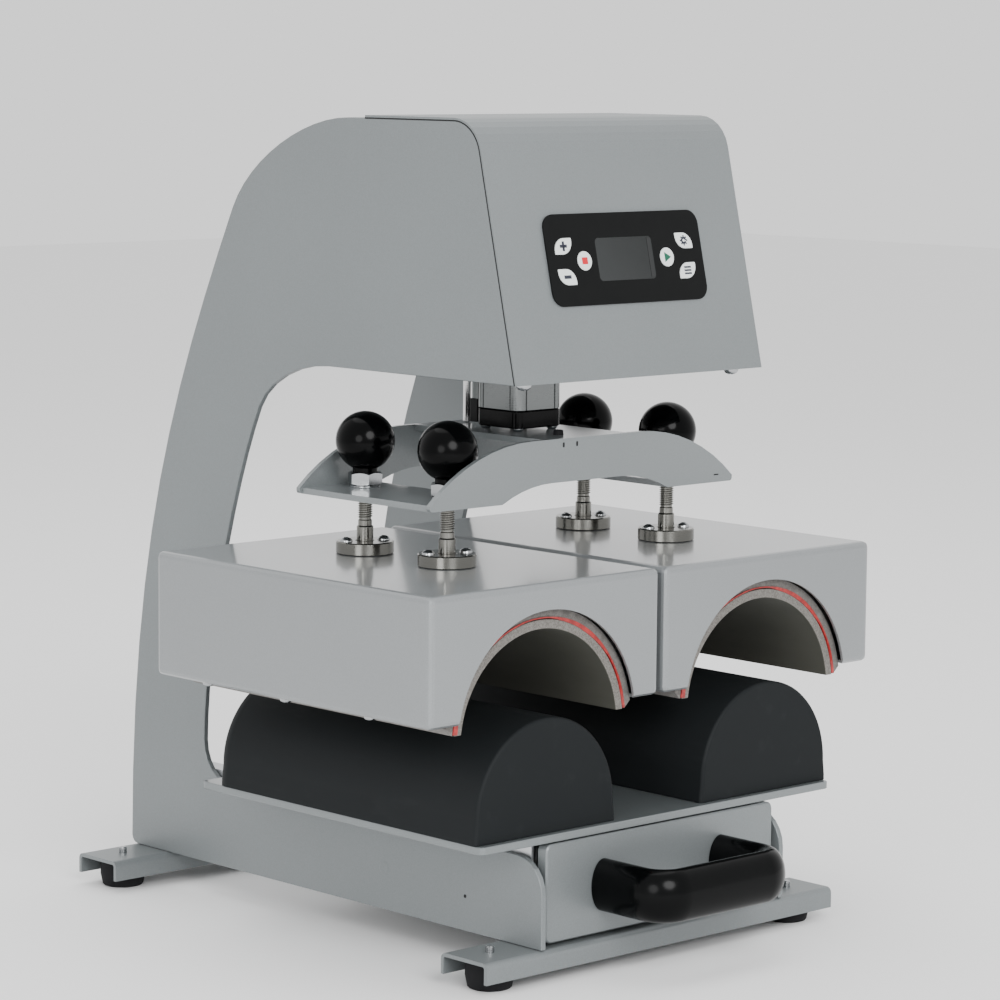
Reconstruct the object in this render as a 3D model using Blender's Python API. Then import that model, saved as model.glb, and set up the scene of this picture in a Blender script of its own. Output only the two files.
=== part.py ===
"""Sock heat press: two arched heated platens under a guided yoke, two rubber forms on a sliding tray.

Units are metres, +Z is up and the front faces -Y. The origin is on the floor, in the middle of the machine's box.
Depths are measured back from the front edge of the side plates, and the machine's empty moves them into the frame.
"""
import math

import bmesh
import bpy
from mathutils import Matrix, Vector

# Fits
CLEARANCE = 0.0003
OVERRUN = 0.004
SEGMENTS = 24
ARC_STEPS = 6
CURVE_STEPS = 12

# Side plates and their head outline
FRAME_WIDTH = 0.228
PLATE_THICKNESS = 0.004
PLATE_DEPTH = 0.4285
PLATE_HEEL_RADIUS = 0.006
PLATE_EDGE = 0.0004
HEAD_TOP = 0.550
HEAD_BOTTOM = 0.3836
HEAD_FRONT = 0.0297
HEAD_SLOPE_DEGREES = 13.14
CROWN_RADIUS = 0.025
ARM_TOP = 0.082
ARM_NOSE_RADIUS = 0.024
THROAT_DEPTH = 0.345
THROAT_RADIUS = 0.028
# Bezier handles of the spine: shares of the plate's depth, and of its rise from foot to top
BACK_LOWER_SHARES = ((1.0, 0.42), (0.8805, 0.64), (0.731, 0.8787))
BACK_UPPER_SHARES = ((0.6894, 0.9448), (0.5508, 1.0), (0.4471, 1.0))
# Bezier handles of the throat: shares of its depth, and of its height between arm and head
THROAT_START_SHARE = 0.6125
THROAT_UPPER_SHARES = ((0.7041, 1.0), (0.7974, 0.9539), (0.8258, 0.8903))
THROAT_LOWER_SHARES = (0.9139, 0.692)
THROAT_DROP_SHARE = 0.3004

# Channels across the front and rear, on rubber feet
CHANNEL_LENGTH = 0.3254
CHANNEL_WIDTH = 0.043
CHANNEL_HEIGHT = 0.014
CHANNEL_SHEET = 0.0025
CHANNEL_RADIUS = 0.004
CHANNEL_LIFT = 0.0085
FRONT_CHANNEL_OVERHANG = 0.0011
REAR_CHANNEL_INSET = 0.0017
FOOT_SPREAD = 0.280
FOOT_RADIUS = 0.016
FOOT_SOLE_RADIUS = 0.0145
FOOT_EDGE = 0.001

# Head covers and floor
COVER_SHEET = 0.0015
COVER_SEAM = 0.175
COVER_LAP = 0.025
COVER_RETURN = 0.025
FLOOR_SHEET = 0.003
FLOOR_SETBACK = 0.004

# Control panel, measured on the sloping face from its upper end
PANEL_START = 0.0418
PANEL_WIDTH = 0.143
PANEL_HEIGHT = 0.061
PANEL_SHEET = 0.0012
PANEL_RADIUS = 0.009
WINDOW_WIDTH = 0.0502
WINDOW_HEIGHT = 0.0275
WINDOW_SINK = 0.0002
LEAF_LENGTH = 0.0125
LEAF_WIDTH = 0.0085
LEAF_ROUND = 0.0065
LEAF_SPREAD = 0.112
LEAF_PITCH = 0.0203
ROUND_KEY_RADIUS = 0.005
ROUND_KEY_SPREAD = 0.077
KEY_THICKNESS = 0.0009
KEY_PROUD = 0.0003
BOARD_SHEET = 0.0016
BOARD_MARGIN = 0.004
STANDOFF_LENGTH = 0.008
STANDOFF_RADIUS = 0.003

# Power inlet and switch on the rear cover
INLET_HEIGHT = 0.432
MODULE_WIDTH = 0.048
MODULE_HEIGHT = 0.058
MODULE_FLANGE = 0.002
MODULE_DEPTH = 0.026
MODULE_MARGIN = 0.004
SOCKET_WIDTH = 0.0245
SOCKET_HEIGHT = 0.0175
SOCKET_DEPTH = 0.017
SOCKET_DROP = 0.011
SOCKET_RADIUS = 0.003
CONTACT_WIDTH = 0.0022
CONTACT_HEIGHT = 0.004
CONTACT_LENGTH = 0.011
CONTACT_PITCH = 0.007
CONTACT_OFFSET = 0.002
ROCKER_LENGTH = 0.0185
ROCKER_WIDTH = 0.0125
ROCKER_THICKNESS = 0.0055
ROCKER_RISE = 0.0165
ROCKER_POCKET = 0.010
ROCKER_TILT_DEGREES = 10.0
ROCKER_PIVOT = 0.001

# Press axis: actuator, guide rod and limit switch
PRESS_DEPTH = 0.1455
ACTUATOR_SIZE = 0.042
ACTUATOR_STRIP = 0.007
ACTUATOR_GROOVE = 0.0007
ACTUATOR_BOTTOM = 0.3545
ACTUATOR_LENGTH = 0.118
ACTUATOR_BORE_DEPTH = 0.070
CAP_HEIGHT = 0.0122
CAP_RADIUS = 0.003
PISTON_RADIUS = 0.006
PISTON_LENGTH = 0.072
GUIDE_OFFSET = 0.0515
GUIDE_RADIUS = 0.0031
GUIDE_LENGTH = 0.112
ROD_CHAMFER = 0.0008
BUSH_WALL = 0.0035
BUSH_FLANGE = 0.003
BUSH_FLANGE_SHEET = 0.002
BUSH_DROP = 0.003
SWITCH_WIDTH = 0.012
SWITCH_THICKNESS = 0.013
SWITCH_HEIGHT = 0.016
SWITCH_GAP = 0.008
SWITCH_LIFT = 0.0026
SWITCH_STRIP = 0.0015
SWITCH_FOOT = 0.010

# Yoke
YOKE_DEPTH = 0.133
YOKE_TOP = 0.340
YOKE_HEIGHT = 0.040
YOKE_SHEET = 0.0035
YOKE_REACH = 0.141
YOKE_FLAT = 0.050
YOKE_SHOULDER_RADIUS = 0.133
YOKE_TIP_RADIUS = 0.002
YOKE_ARCH_FLAT = 0.032
YOKE_ARCH_RADIUS = 0.098
YOKE_ARCH_RISE = 0.011
DECK_HALF_WIDTH = 0.0385
DECK_SHEET = 0.004
WING_START = 0.077

# Adjusting rods, nuts, flanges and ball knobs
LANE = 0.1025
ROD_SPACING = 0.0818
ROD_RADIUS = 0.005
STEM_RADIUS = 0.00575
STEM_TOP = 0.278
ROD_HEAD_RADIUS = 0.008
ROD_HEAD_HEIGHT = 0.003
FLANGE_RADIUS = 0.0195
FLANGE_HEIGHT = 0.0082
FLANGE_EDGE = 0.0008
BALL_RADIUS = 0.020
BALL_CENTRE = 0.335
BALL_COLLAR_RADIUS = 0.0085
BALL_COLLAR_DROP = 0.0005
BALL_BORE_DEPTH = 0.016
NUT_FLATS = 0.017
NUT_HEIGHT = 0.0068
WASHER_RADIUS = 0.0105
WASHER_SHEET = 0.0016

# Platens
PLATEN_GAP = 0.0052
PLATEN_WIDTH = 0.2024
PLATEN_FRONT = 0.0071
PLATEN_LENGTH = 0.275
PLATEN_BOTTOM = 0.1754
PLATEN_WALL = 0.002
PLATEN_EDGE = 0.004
PLATEN_CHEEK = 0.0227
PLATEN_CROWN = 0.0174
ARCH_RADIUS = PLATEN_WIDTH / 2 - PLATEN_CHEEK
ARCH_DROP = 0.012
PLATEN_HEIGHT = ARCH_RADIUS - ARCH_DROP + PLATEN_CROWN
PAD_DROP = 0.004
PAD_RECESS = 0.008
BACKING_LAP = 0.0015
BACKING_RADIUS = ARCH_RADIUS + BACKING_LAP
BACKING_SHEET = 0.003
MAT_SHEET = 0.0012
LINING_SHEET = 0.0062
BACKING_HANG = 0.0015
MAT_HANG = 0.0062
LINING_HANG = 0.0075

# Tray, forms and drawer
TRAY_WIDTH = 0.327
TRAY_FRONT = 0.0033
TRAY_LENGTH = 0.2824
TRAY_SHEET = 0.0051
TRAY_TOP = 0.0965
TRAY_RADIUS = 0.004
FORM_ROOM = 0.0175
FORM_RADIUS = ARCH_RADIUS - FORM_ROOM
FORM_SHOULDER = 0.0145
FORM_FOOT = 0.0013
FORM_HALF_WIDTH = FORM_RADIUS + FORM_FOOT
FORM_FRONT = 0.0081
FORM_LENGTH = 0.2634
FORM_FRONT_ROUND = 0.003
FORM_REAR_ROUND = 0.015
DRAWER_FACE = 0.0038
DRAWER_WIDTH = 0.2128
DRAWER_BOTTOM = 0.025
DRAWER_HEIGHT = 0.065
DRAWER_SHEET = 0.002
DRAWER_RETURN = 0.008
DRAWER_RADIUS = 0.005
SIDE_SHEET = 0.003
SIDE_BOTTOM = 0.034
SIDE_FLANGE = 0.022
SIDE_NOTCH = 0.003
HANDLE_WIDTH = 0.132
HANDLE_LEG = 0.023
HANDLE_BOTTOM = 0.0394
HANDLE_HEIGHT = 0.0350
HANDLE_REACH = 0.065
HANDLE_BAR = 0.020
HANDLE_RADIUS = 0.026
HANDLE_GRIP_RADIUS = 0.014
HANDLE_ROUND = 0.009

# Telescopic slide rails
RAIL_FRONT = 0.0145
RAIL_LENGTH = 0.3435
RAIL_BOTTOM = 0.037
RAIL_HEIGHT = 0.053
RAIL_WIDTH = 0.019
RAIL_SHEET = 0.002
RAIL_STEP = 0.0045
RAIL_RUN = 0.0005
RAIL_SHORTER = 0.012

# Sizes that follow from the ones above
HALF_WIDTH = FRAME_WIDTH / 2
INNER_HALF = HALF_WIDTH - PLATE_THICKNESS
BETWEEN_PLATES = INNER_HALF - CLEARANCE
CHANNEL_TOP = CHANNEL_LIFT + CHANNEL_HEIGHT
PLATE_FOOT = CHANNEL_TOP + CLEARANCE
SLOPE = math.radians(HEAD_SLOPE_DEGREES)
SLOPE_UP = Vector((math.sin(SLOPE), math.cos(SLOPE)))
SLOPE_OUT = Vector((-math.cos(SLOPE), math.sin(SLOPE)))
COVER_OUTSIDE = CLEARANCE + COVER_SHEET
FRONT = -(PLATE_DEPTH - HANDLE_REACH + DRAWER_FACE) / 2
YOKE_BOTTOM = YOKE_TOP - YOKE_HEIGHT
WING_TOP = YOKE_BOTTOM + DECK_SHEET
PLATEN_TOP = PLATEN_BOTTOM + PLATEN_HEIGHT
ARCH_CENTRE = PLATEN_BOTTOM - ARCH_DROP
PAD_CENTRE = ARCH_CENTRE - PAD_DROP
FLANGE_BOTTOM = PLATEN_TOP + CLEARANCE
RAIL_OUTSIDE = INNER_HALF - CLEARANCE
RAIL_INSIDE = INNER_HALF - RAIL_WIDTH

# Colour, roughness and metallic value of each finish
FINISHES = {
    "grey_paint": ((0.30, 0.32, 0.33), 0.42, 0.30),
    "satin_shell": ((0.38, 0.40, 0.41), 0.36, 0.55),
    "black_gloss": ((0.008, 0.008, 0.009), 0.08, 0.0),
    "black_plastic": ((0.015, 0.015, 0.016), 0.45, 0.0),
    "rubber": ((0.020, 0.022, 0.024), 0.62, 0.0),
    "steel": ((0.55, 0.55, 0.54), 0.28, 1.0),
    "zinc": ((0.62, 0.63, 0.65), 0.34, 1.0),
    "chrome": ((0.72, 0.72, 0.73), 0.08, 1.0),
    "aluminium": ((0.60, 0.61, 0.62), 0.35, 1.0),
    "key": ((0.78, 0.80, 0.78), 0.45, 0.0),
    "board": ((0.02, 0.14, 0.06), 0.5, 0.0),
    "insulation": ((0.05, 0.05, 0.048), 0.9, 0.0),
    "heater": ((0.52, 0.06, 0.04), 0.6, 0.0),
    "lining": ((0.030, 0.031, 0.027), 0.7, 0.0),
}


def clear_scene():
    """Starts from an empty scene."""
    for old in list(bpy.data.objects):
        bpy.data.objects.remove(old, do_unlink=True)


def add_empty(name, location, parent=None, tilt=0.0):
    """Adds an empty that carries pieces, turned about X by tilt."""
    empty = bpy.data.objects.new(name, None)
    bpy.context.scene.collection.objects.link(empty)
    empty.parent = parent
    empty.location = location
    empty.rotation_euler = (tilt, 0, 0)
    return empty


def add_mesh(name, bm, parent, origin):
    """Turns a bmesh into an object whose own origin is the given point of its parent's frame."""
    bmesh.ops.recalc_face_normals(bm, faces=bm.faces)
    bmesh.ops.translate(bm, verts=bm.verts, vec=-Vector(origin))
    mesh = bpy.data.meshes.new(name)
    bm.to_mesh(mesh)
    bm.free()
    piece = bpy.data.objects.new(name, mesh)
    bpy.context.scene.collection.objects.link(piece)
    piece.parent = parent
    piece.location = origin
    return piece


def add_piece(name, bm, finish, parent, origin=(0, 0, 0)):
    """Adds a sub-part with a material of its own, shaded smooth where its faces meet at less than 35 degrees."""
    piece = add_mesh(name, bm, parent, origin)
    colour, roughness, metallic = FINISHES[finish]
    material = bpy.data.materials.new(name + "_" + finish)
    material.use_nodes = True
    shader = material.node_tree.nodes["Principled BSDF"]
    shader.inputs["Base Color"].default_value = (*colour, 1)
    shader.inputs["Roughness"].default_value = roughness
    shader.inputs["Metallic"].default_value = metallic
    piece.data.materials.append(material)
    piece.data.shade_smooth()
    piece.data.set_sharp_from_angle(angle=math.radians(35))
    return piece


def shape_with(piece, name, bm, operation):
    """Cuts a piece by a helper solid, or joins the solid to it, in the piece's parent frame."""
    helper = add_mesh(name, bm, piece.parent, (0, 0, 0))
    helper.hide_render = True
    helper.display_type = "WIRE"
    modifier = piece.modifiers.new(name, "BOOLEAN")
    modifier.operation = operation
    modifier.solver = "EXACT"
    modifier.object = helper


def round_edges(piece, width, segments):
    """Rounds every edge sharper than 30 degrees."""
    modifier = piece.modifiers.new("rounded_edges", "BEVEL")
    modifier.width = width
    modifier.segments = segments
    modifier.limit_method = "ANGLE"


def along(axis, distance, first, second):
    """A point at a distance along one axis, with the two other coordinates in their usual order."""
    others = [first, second]
    others.insert("XYZ".index(axis), distance)
    return others


def add_prism(bm, outline, axis, start, end):
    """Extrudes a closed outline along an axis."""
    corners = [bm.verts.new(along(axis, start, *point)) for point in outline]
    face = bm.faces.new(corners)
    extruded = bmesh.ops.extrude_face_region(bm, geom=[face])
    moved = [item for item in extruded["geom"] if isinstance(item, bmesh.types.BMVert)]
    bmesh.ops.translate(bm, verts=moved, vec=along(axis, end - start, 0, 0))
    return bm


def prism(outline, axis, start, end):
    """A new solid extruded from a closed outline."""
    return add_prism(bmesh.new(), outline, axis, start, end)


def add_block(bm, lows, highs):
    """Adds a rectangular block between two corners."""
    lows, highs = Vector(lows), Vector(highs)
    made = bmesh.ops.create_cube(bm, size=1, matrix=Matrix.Translation((lows + highs) / 2))
    size = highs - lows
    bmesh.ops.scale(bm, vec=size, verts=made["verts"], space=Matrix.Translation(-(lows + highs) / 2))
    return bm


def block(lows, highs):
    """A new rectangular block."""
    return add_block(bmesh.new(), lows, highs)


def mirrored_span(side, near, far):
    """The lower and the upper X of a piece that lies from near to far on one side."""
    return min(side * near, side * far), max(side * near, side * far)


def add_rings(bm, rings, closed=False):
    """Skins rings of equal count; the ends are capped, or joined to each other on a closed ring."""
    rows = [[bm.verts.new(point) for point in ring] for ring in rings]
    pairs = list(zip(rows, rows[1:]))
    if closed:
        pairs.append((rows[-1], rows[0]))
    else:
        bm.faces.new(rows[0])
        bm.faces.new(rows[-1])
    count = len(rows[0])
    for lower, upper in pairs:
        for i in range(count):
            j = (i + 1) % count
            bm.faces.new((lower[i], lower[j], upper[j], upper[i]))
    return bm


def add_turned(bm, profile, centre, ring=False, segments=SEGMENTS):
    """Spins (radius, height) points about the vertical through centre; ring closes the profile on itself."""
    x, y = centre
    corners = [bm.verts.new((x + radius, y, height)) for radius, height in profile]
    edges = [bm.edges.new(pair) for pair in zip(corners, corners[1:])]
    if ring:
        edges.append(bm.edges.new((corners[-1], corners[0])))
    before = set(bm.verts) - set(corners)
    bmesh.ops.spin(
        bm, geom=corners + edges, cent=(x, y, 0), axis=(0, 0, 1), angle=math.tau, steps=segments, use_merge=True
    )
    new = [vert for vert in bm.verts if vert not in before]
    bmesh.ops.remove_doubles(bm, verts=new, dist=CLEARANCE / 100)
    return bm


def turned(profile, centre, ring=False, segments=SEGMENTS):
    """A new turned solid."""
    return add_turned(bmesh.new(), profile, centre, ring, segments)


def arc(centre, radius, start, end, steps=ARC_STEPS):
    """Points of an arc between two angles in degrees."""
    angles = [math.radians(start + (end - start) * i / steps) for i in range(steps + 1)]
    return [(centre[0] + radius * math.cos(a), centre[1] + radius * math.sin(a)) for a in angles]


def bezier(start, first, second, end, steps=CURVE_STEPS):
    """Points of a Bezier curve after its start."""
    points = []
    for i in range(1, steps + 1):
        t = i / steps
        s = 1 - t
        weights = (s ** 3, 3 * s * s * t, 3 * s * t * t, t ** 3)
        corners = (start, first, second, end)
        points.append(tuple(sum(w * p[k] for w, p in zip(weights, corners)) for k in range(2)))
    return points


def rounded_rectangle(half_width, half_height, radius, centre=(0, 0), steps=4):
    """A rectangle with round corners, counter-clockwise from its right side."""
    points = []
    for turn, (sx, sy) in enumerate(((1, 1), (-1, 1), (-1, -1), (1, -1))):
        corner = (centre[0] + sx * (half_width - radius), centre[1] + sy * (half_height - radius))
        points += arc(corner, radius, turn * 90, turn * 90 + 90, steps)
    return points


def back_curve():
    """The rear edge of a side plate, from its foot up to where the top runs flat."""
    rise = HEAD_TOP - PLATE_FOOT

    def place(share):
        return share[0] * PLATE_DEPTH, PLATE_FOOT + share[1] * rise

    lower = [place(share) for share in BACK_LOWER_SHARES]
    upper = [place(share) for share in BACK_UPPER_SHARES]
    heel = (PLATE_DEPTH, PLATE_FOOT)
    return [heel] + bezier(heel, *lower) + bezier(lower[-1], *upper)


def back_depth(height):
    """The depth of the plate's rear edge at a height."""
    points = back_curve()
    for (y0, z0), (y1, z1) in zip(points, points[1:]):
        if z0 <= height <= z1:
            return y0 + (y1 - y0) * (height - z0) / (z1 - z0)
    return points[-1][0]


def throat_curve():
    """The open throat of a side plate, from the head's underside down to the arm."""
    height = HEAD_BOTTOM - ARM_TOP

    def place(share):
        return share[0] * THROAT_DEPTH, ARM_TOP + share[1] * height

    start = place((THROAT_START_SHARE, 1))
    upper = [place(share) for share in THROAT_UPPER_SHARES]
    end = (THROAT_DEPTH, ARM_TOP + THROAT_RADIUS)
    lower = bezier(upper[-1], place(THROAT_LOWER_SHARES), place((1, THROAT_DROP_SHARE)), end)
    corner = arc((THROAT_DEPTH - THROAT_RADIUS, ARM_TOP + THROAT_RADIUS), THROAT_RADIUS, 0, -90)
    return [start] + bezier(start, *upper, steps=ARC_STEPS) + lower + corner[1:]


def crown(offset):
    """The head's crown and sloping face, offset outwards, from the crown's start down to the head's underside."""
    foot = Vector((HEAD_FRONT, HEAD_BOTTOM))
    run = (HEAD_TOP - CROWN_RADIUS - foot.y + CROWN_RADIUS * SLOPE_OUT.y) / SLOPE_UP.y
    centre = foot + run * SLOPE_UP - CROWN_RADIUS * SLOPE_OUT
    lower = foot + offset * SLOPE_OUT
    lower -= SLOPE_UP * (lower.y - foot.y) / SLOPE_UP.y
    return arc(centre, CROWN_RADIUS + offset, 90, 180 - HEAD_SLOPE_DEGREES) + [tuple(lower)]


def slope_top():
    """The upper end of the sloping face on the front cover's outside."""
    return crown(COVER_OUTSIDE)[-2]


def plate_outline():
    """A side plate as (depth, height) points."""
    heel = arc((PLATE_DEPTH - PLATE_HEEL_RADIUS, PLATE_FOOT + PLATE_HEEL_RADIUS), PLATE_HEEL_RADIUS, -90, 0, 3)
    back = [point for point in back_curve() if point[1] > PLATE_FOOT + PLATE_HEEL_RADIUS + CLEARANCE]
    nose = arc((ARM_NOSE_RADIUS, ARM_TOP - ARM_NOSE_RADIUS), ARM_NOSE_RADIUS, 90, 180)
    return [(0, PLATE_FOOT)] + heel + back + crown(0) + throat_curve() + nose


def make_side_plates(machine):
    """The two laser-cut side plates."""
    for side, name in ((-1, "side_plate_left"), (1, "side_plate_right")):
        span = mirrored_span(side, INNER_HALF, HALF_WIDTH)
        piece = add_piece(name, prism(plate_outline(), "X", *span), "grey_paint", machine)
        round_edges(piece, PLATE_EDGE, 1)


def channel_outline(front):
    """A channel that opens downwards, as (depth, height) points."""
    rear = front + CHANNEL_WIDTH
    inner = CHANNEL_RADIUS - CHANNEL_SHEET
    top = CHANNEL_TOP - CHANNEL_RADIUS
    near, far = front + CHANNEL_RADIUS, rear - CHANNEL_RADIUS
    outside = arc((far, top), CHANNEL_RADIUS, 0, 90, 4) + arc((near, top), CHANNEL_RADIUS, 90, 180, 4)
    inside = arc((near, top), inner, 180, 90, 4) + arc((far, top), inner, 90, 0, 4)
    low = CHANNEL_LIFT
    return (
        [(rear, low)] + outside + [(front, low), (front + CHANNEL_SHEET, low)] + inside + [(rear - CHANNEL_SHEET, low)]
    )


def channel_fronts():
    """The front edges of the two channels."""
    return {
        "front_channel": -FRONT_CHANNEL_OVERHANG,
        "rear_channel": PLATE_DEPTH - REAR_CHANNEL_INSET - CHANNEL_WIDTH,
    }


def make_channels(machine):
    """The folded channels that the side plates stand on."""
    for name, front in channel_fronts().items():
        outline = channel_outline(front)
        add_piece(name, prism(outline, "X", -CHANNEL_LENGTH / 2, CHANNEL_LENGTH / 2), "grey_paint", machine)


def make_feet(machine):
    """Four moulded rubber feet, seated under the webs of the channels."""
    seat = CHANNEL_TOP - CHANNEL_SHEET - CLEARANCE
    profile = [
        (0, 0),
        (FOOT_SOLE_RADIUS - FOOT_EDGE, 0),
        (FOOT_SOLE_RADIUS, FOOT_EDGE),
        (FOOT_RADIUS, CHANNEL_LIFT),
        (FOOT_RADIUS, seat),
        (0, seat),
    ]
    for channel, front in channel_fronts().items():
        row = channel.split("_")[0]
        for x, hand in ((-FOOT_SPREAD / 2, "left"), (FOOT_SPREAD / 2, "right")):
            foot = turned(profile, (x, front + CHANNEL_WIDTH / 2), segments=20)
            add_piece("rubber_foot_" + row + "_" + hand, foot, "rubber", machine)


def make_front_cover(machine):
    """The sheet over the crown and the sloping face, with a return under the head's floor."""
    seam = [(COVER_SEAM, HEAD_TOP + COVER_OUTSIDE)], [(COVER_SEAM, HEAD_TOP + CLEARANCE)]
    outline = seam[0] + crown(COVER_OUTSIDE) + crown(CLEARANCE)[::-1] + seam[1]
    cover = add_piece("head_front_cover", prism(outline, "X", -HALF_WIDTH, HALF_WIDTH), "grey_paint", machine)
    start = crown(CLEARANCE + COVER_SHEET / 2)[-1][0]
    lows = (-BETWEEN_PLATES, start, HEAD_BOTTOM)
    highs = (BETWEEN_PLATES, HEAD_FRONT + COVER_RETURN, HEAD_BOTTOM + COVER_SHEET)
    shape_with(cover, "front_return", block(lows, highs), "UNION")
    return cover


def cover_path():
    """The rear cover's outside, from under the front cover over the back and down to the head's underside."""
    above = [point for point in back_curve() if point[1] > HEAD_BOTTOM + CLEARANCE]
    return [(COVER_SEAM - COVER_LAP, HEAD_TOP)] + above[::-1] + [(back_depth(HEAD_BOTTOM), HEAD_BOTTOM)]


def offset_path(points, distance):
    """The open path moved to its right by a distance, corner by corner."""
    moved = []
    for i, point in enumerate(points):
        before = Vector(points[max(i - 1, 0)])
        after = Vector(points[min(i + 1, len(points) - 1)])
        run = (after - before).normalized()
        moved.append((point[0] + run.y * distance, point[1] - run.x * distance))
    return moved


def make_rear_cover(machine):
    """The sheet that closes the head's back between the plates, cut for the power inlet."""
    outside = cover_path()
    outline = outside + offset_path(outside, COVER_SHEET)[::-1]
    cover = add_piece("head_rear_cover", prism(outline, "X", -BETWEEN_PLATES, BETWEEN_PLATES), "grey_paint", machine)
    half_width = MODULE_WIDTH / 2 - MODULE_MARGIN + CLEARANCE
    half_height = MODULE_HEIGHT / 2 - MODULE_MARGIN + CLEARANCE
    bm = block((-half_width, -half_height, -OVERRUN), (half_width, half_height, OVERRUN))
    bmesh.ops.transform(bm, matrix=inlet_matrix(), verts=bm.verts)
    shape_with(cover, "inlet_opening", bm, "DIFFERENCE")


def floor_level():
    """The underside of the head's floor, on the front cover's return."""
    return HEAD_BOTTOM + COVER_SHEET + CLEARANCE


def make_floor(machine):
    """The plate that closes the head below and carries the actuator, with the guide rod's bush welded in."""
    low = floor_level()
    top = low + FLOOR_SHEET
    rear = back_depth(top) - COVER_SHEET - FLOOR_SETBACK
    lows = (-BETWEEN_PLATES, HEAD_FRONT + FLOOR_SETBACK, low)
    floor = add_piece("head_floor_plate", block(lows, (BETWEEN_PLATES, rear, top)), "grey_paint", machine)
    inner = GUIDE_RADIUS + CLEARANCE
    outer = inner + BUSH_WALL
    guide = (0, PRESS_DEPTH + GUIDE_OFFSET)
    bush = [
        (0, low - BUSH_DROP),
        (outer, low - BUSH_DROP),
        (outer, low + FLOOR_SHEET / 2),
        (outer + BUSH_FLANGE, low + FLOOR_SHEET / 2),
        (outer + BUSH_FLANGE, top + BUSH_FLANGE_SHEET),
        (0, top + BUSH_FLANGE_SHEET),
    ]
    shape_with(floor, "guide_bush", turned(bush, guide, segments=24), "UNION")
    half = ACTUATOR_SIZE / 2 + CLEARANCE
    hole = block((-half, PRESS_DEPTH - half, low - OVERRUN), (half, PRESS_DEPTH + half, top + OVERRUN))
    below, above = low - BUSH_DROP - OVERRUN, top + BUSH_FLANGE_SHEET + OVERRUN
    add_turned(hole, [(0, below), (inner, below), (inner, above), (0, above)], guide, segments=20)
    shape_with(floor, "floor_holes", hole, "DIFFERENCE")


def leaf_outline(side, centre, grow=0.0):
    """A leaf-shaped key: two opposite corners drawn round, the two others nearly sharp."""
    half_x, half_y = LEAF_LENGTH / 2 + grow, LEAF_WIDTH / 2 + grow
    sharp = LEAF_ROUND / 8
    points = []
    for turn, (sx, sy) in enumerate(((1, 1), (-1, 1), (-1, -1), (1, -1))):
        round_here = sx * sy == side
        radius = LEAF_ROUND if round_here else sharp
        corner = (centre[0] + sx * (half_x - radius), centre[1] + sy * (half_y - radius))
        points += arc(corner, radius, turn * 90, turn * 90 + 90, 5 if round_here else 1)
    return points


def key_outlines(grow=0.0):
    """The six keys on the panel by name, in the panel's frame."""
    x, y = LEAF_SPREAD / 2, LEAF_PITCH / 2
    round_x = ROUND_KEY_SPREAD / 2
    circle = arc((0, 0), ROUND_KEY_RADIUS + grow, 0, 340, 17)
    return {
        "key_plus": leaf_outline(-1, (-x, y), grow),
        "key_minus": leaf_outline(1, (-x, -y), grow),
        "key_stop": [(a - round_x, b) for a, b in circle],
        "key_start": [(a + round_x, b) for a, b in circle],
        "key_set": leaf_outline(1, (x, y), grow),
        "key_mode": leaf_outline(-1, (x, -y), grow),
    }


def panel_empty(machine):
    """The middle of the control panel on the front cover's outside: Y up the slope and Z outwards."""
    top = Vector(slope_top())
    middle = top - SLOPE_UP * (PANEL_START + PANEL_HEIGHT / 2)
    return add_empty("panel_face", (0, middle.x, middle.y), machine, math.pi / 2 - SLOPE)


def make_panel(panel, cover):
    """The black control panel, cut for the display and for six sprung keys."""
    face = CLEARANCE + PANEL_SHEET
    outline = rounded_rectangle(PANEL_WIDTH / 2, PANEL_HEIGHT / 2, PANEL_RADIUS)
    plate = add_piece("control_panel", prism(outline, "Z", CLEARANCE, face), "black_plastic", panel)
    holes = bmesh.new()
    for key in key_outlines(CLEARANCE).values():
        add_prism(holes, key, "Z", CLEARANCE - OVERRUN, face + OVERRUN)
    half_width, half_height = WINDOW_WIDTH / 2, WINDOW_HEIGHT / 2
    wide, tall = half_width + CLEARANCE, half_height + CLEARANCE
    add_block(holes, (-wide, -tall, CLEARANCE - OVERRUN), (wide, tall, face + OVERRUN))
    shape_with(plate, "panel_holes", holes, "DIFFERENCE")
    opening = block((-wide, -tall, -COVER_SHEET - OVERRUN), (wide, tall, OVERRUN))
    bmesh.ops.transform(opening, matrix=panel_matrix(panel), verts=opening.verts)
    shape_with(cover, "window_opening", opening, "DIFFERENCE")
    top = face + KEY_PROUD
    for name, outline in key_outlines().items():
        middle = [sum(values) / len(outline) for values in zip(*outline)]
        bm = prism(outline, "Z", top - KEY_THICKNESS, top)
        add_piece(name, bm, "key", panel, (*middle, top))


def panel_matrix(empty):
    """The place of an empty within the machine's frame."""
    return Matrix.LocRotScale(empty.location, empty.rotation_euler, None)


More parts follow.
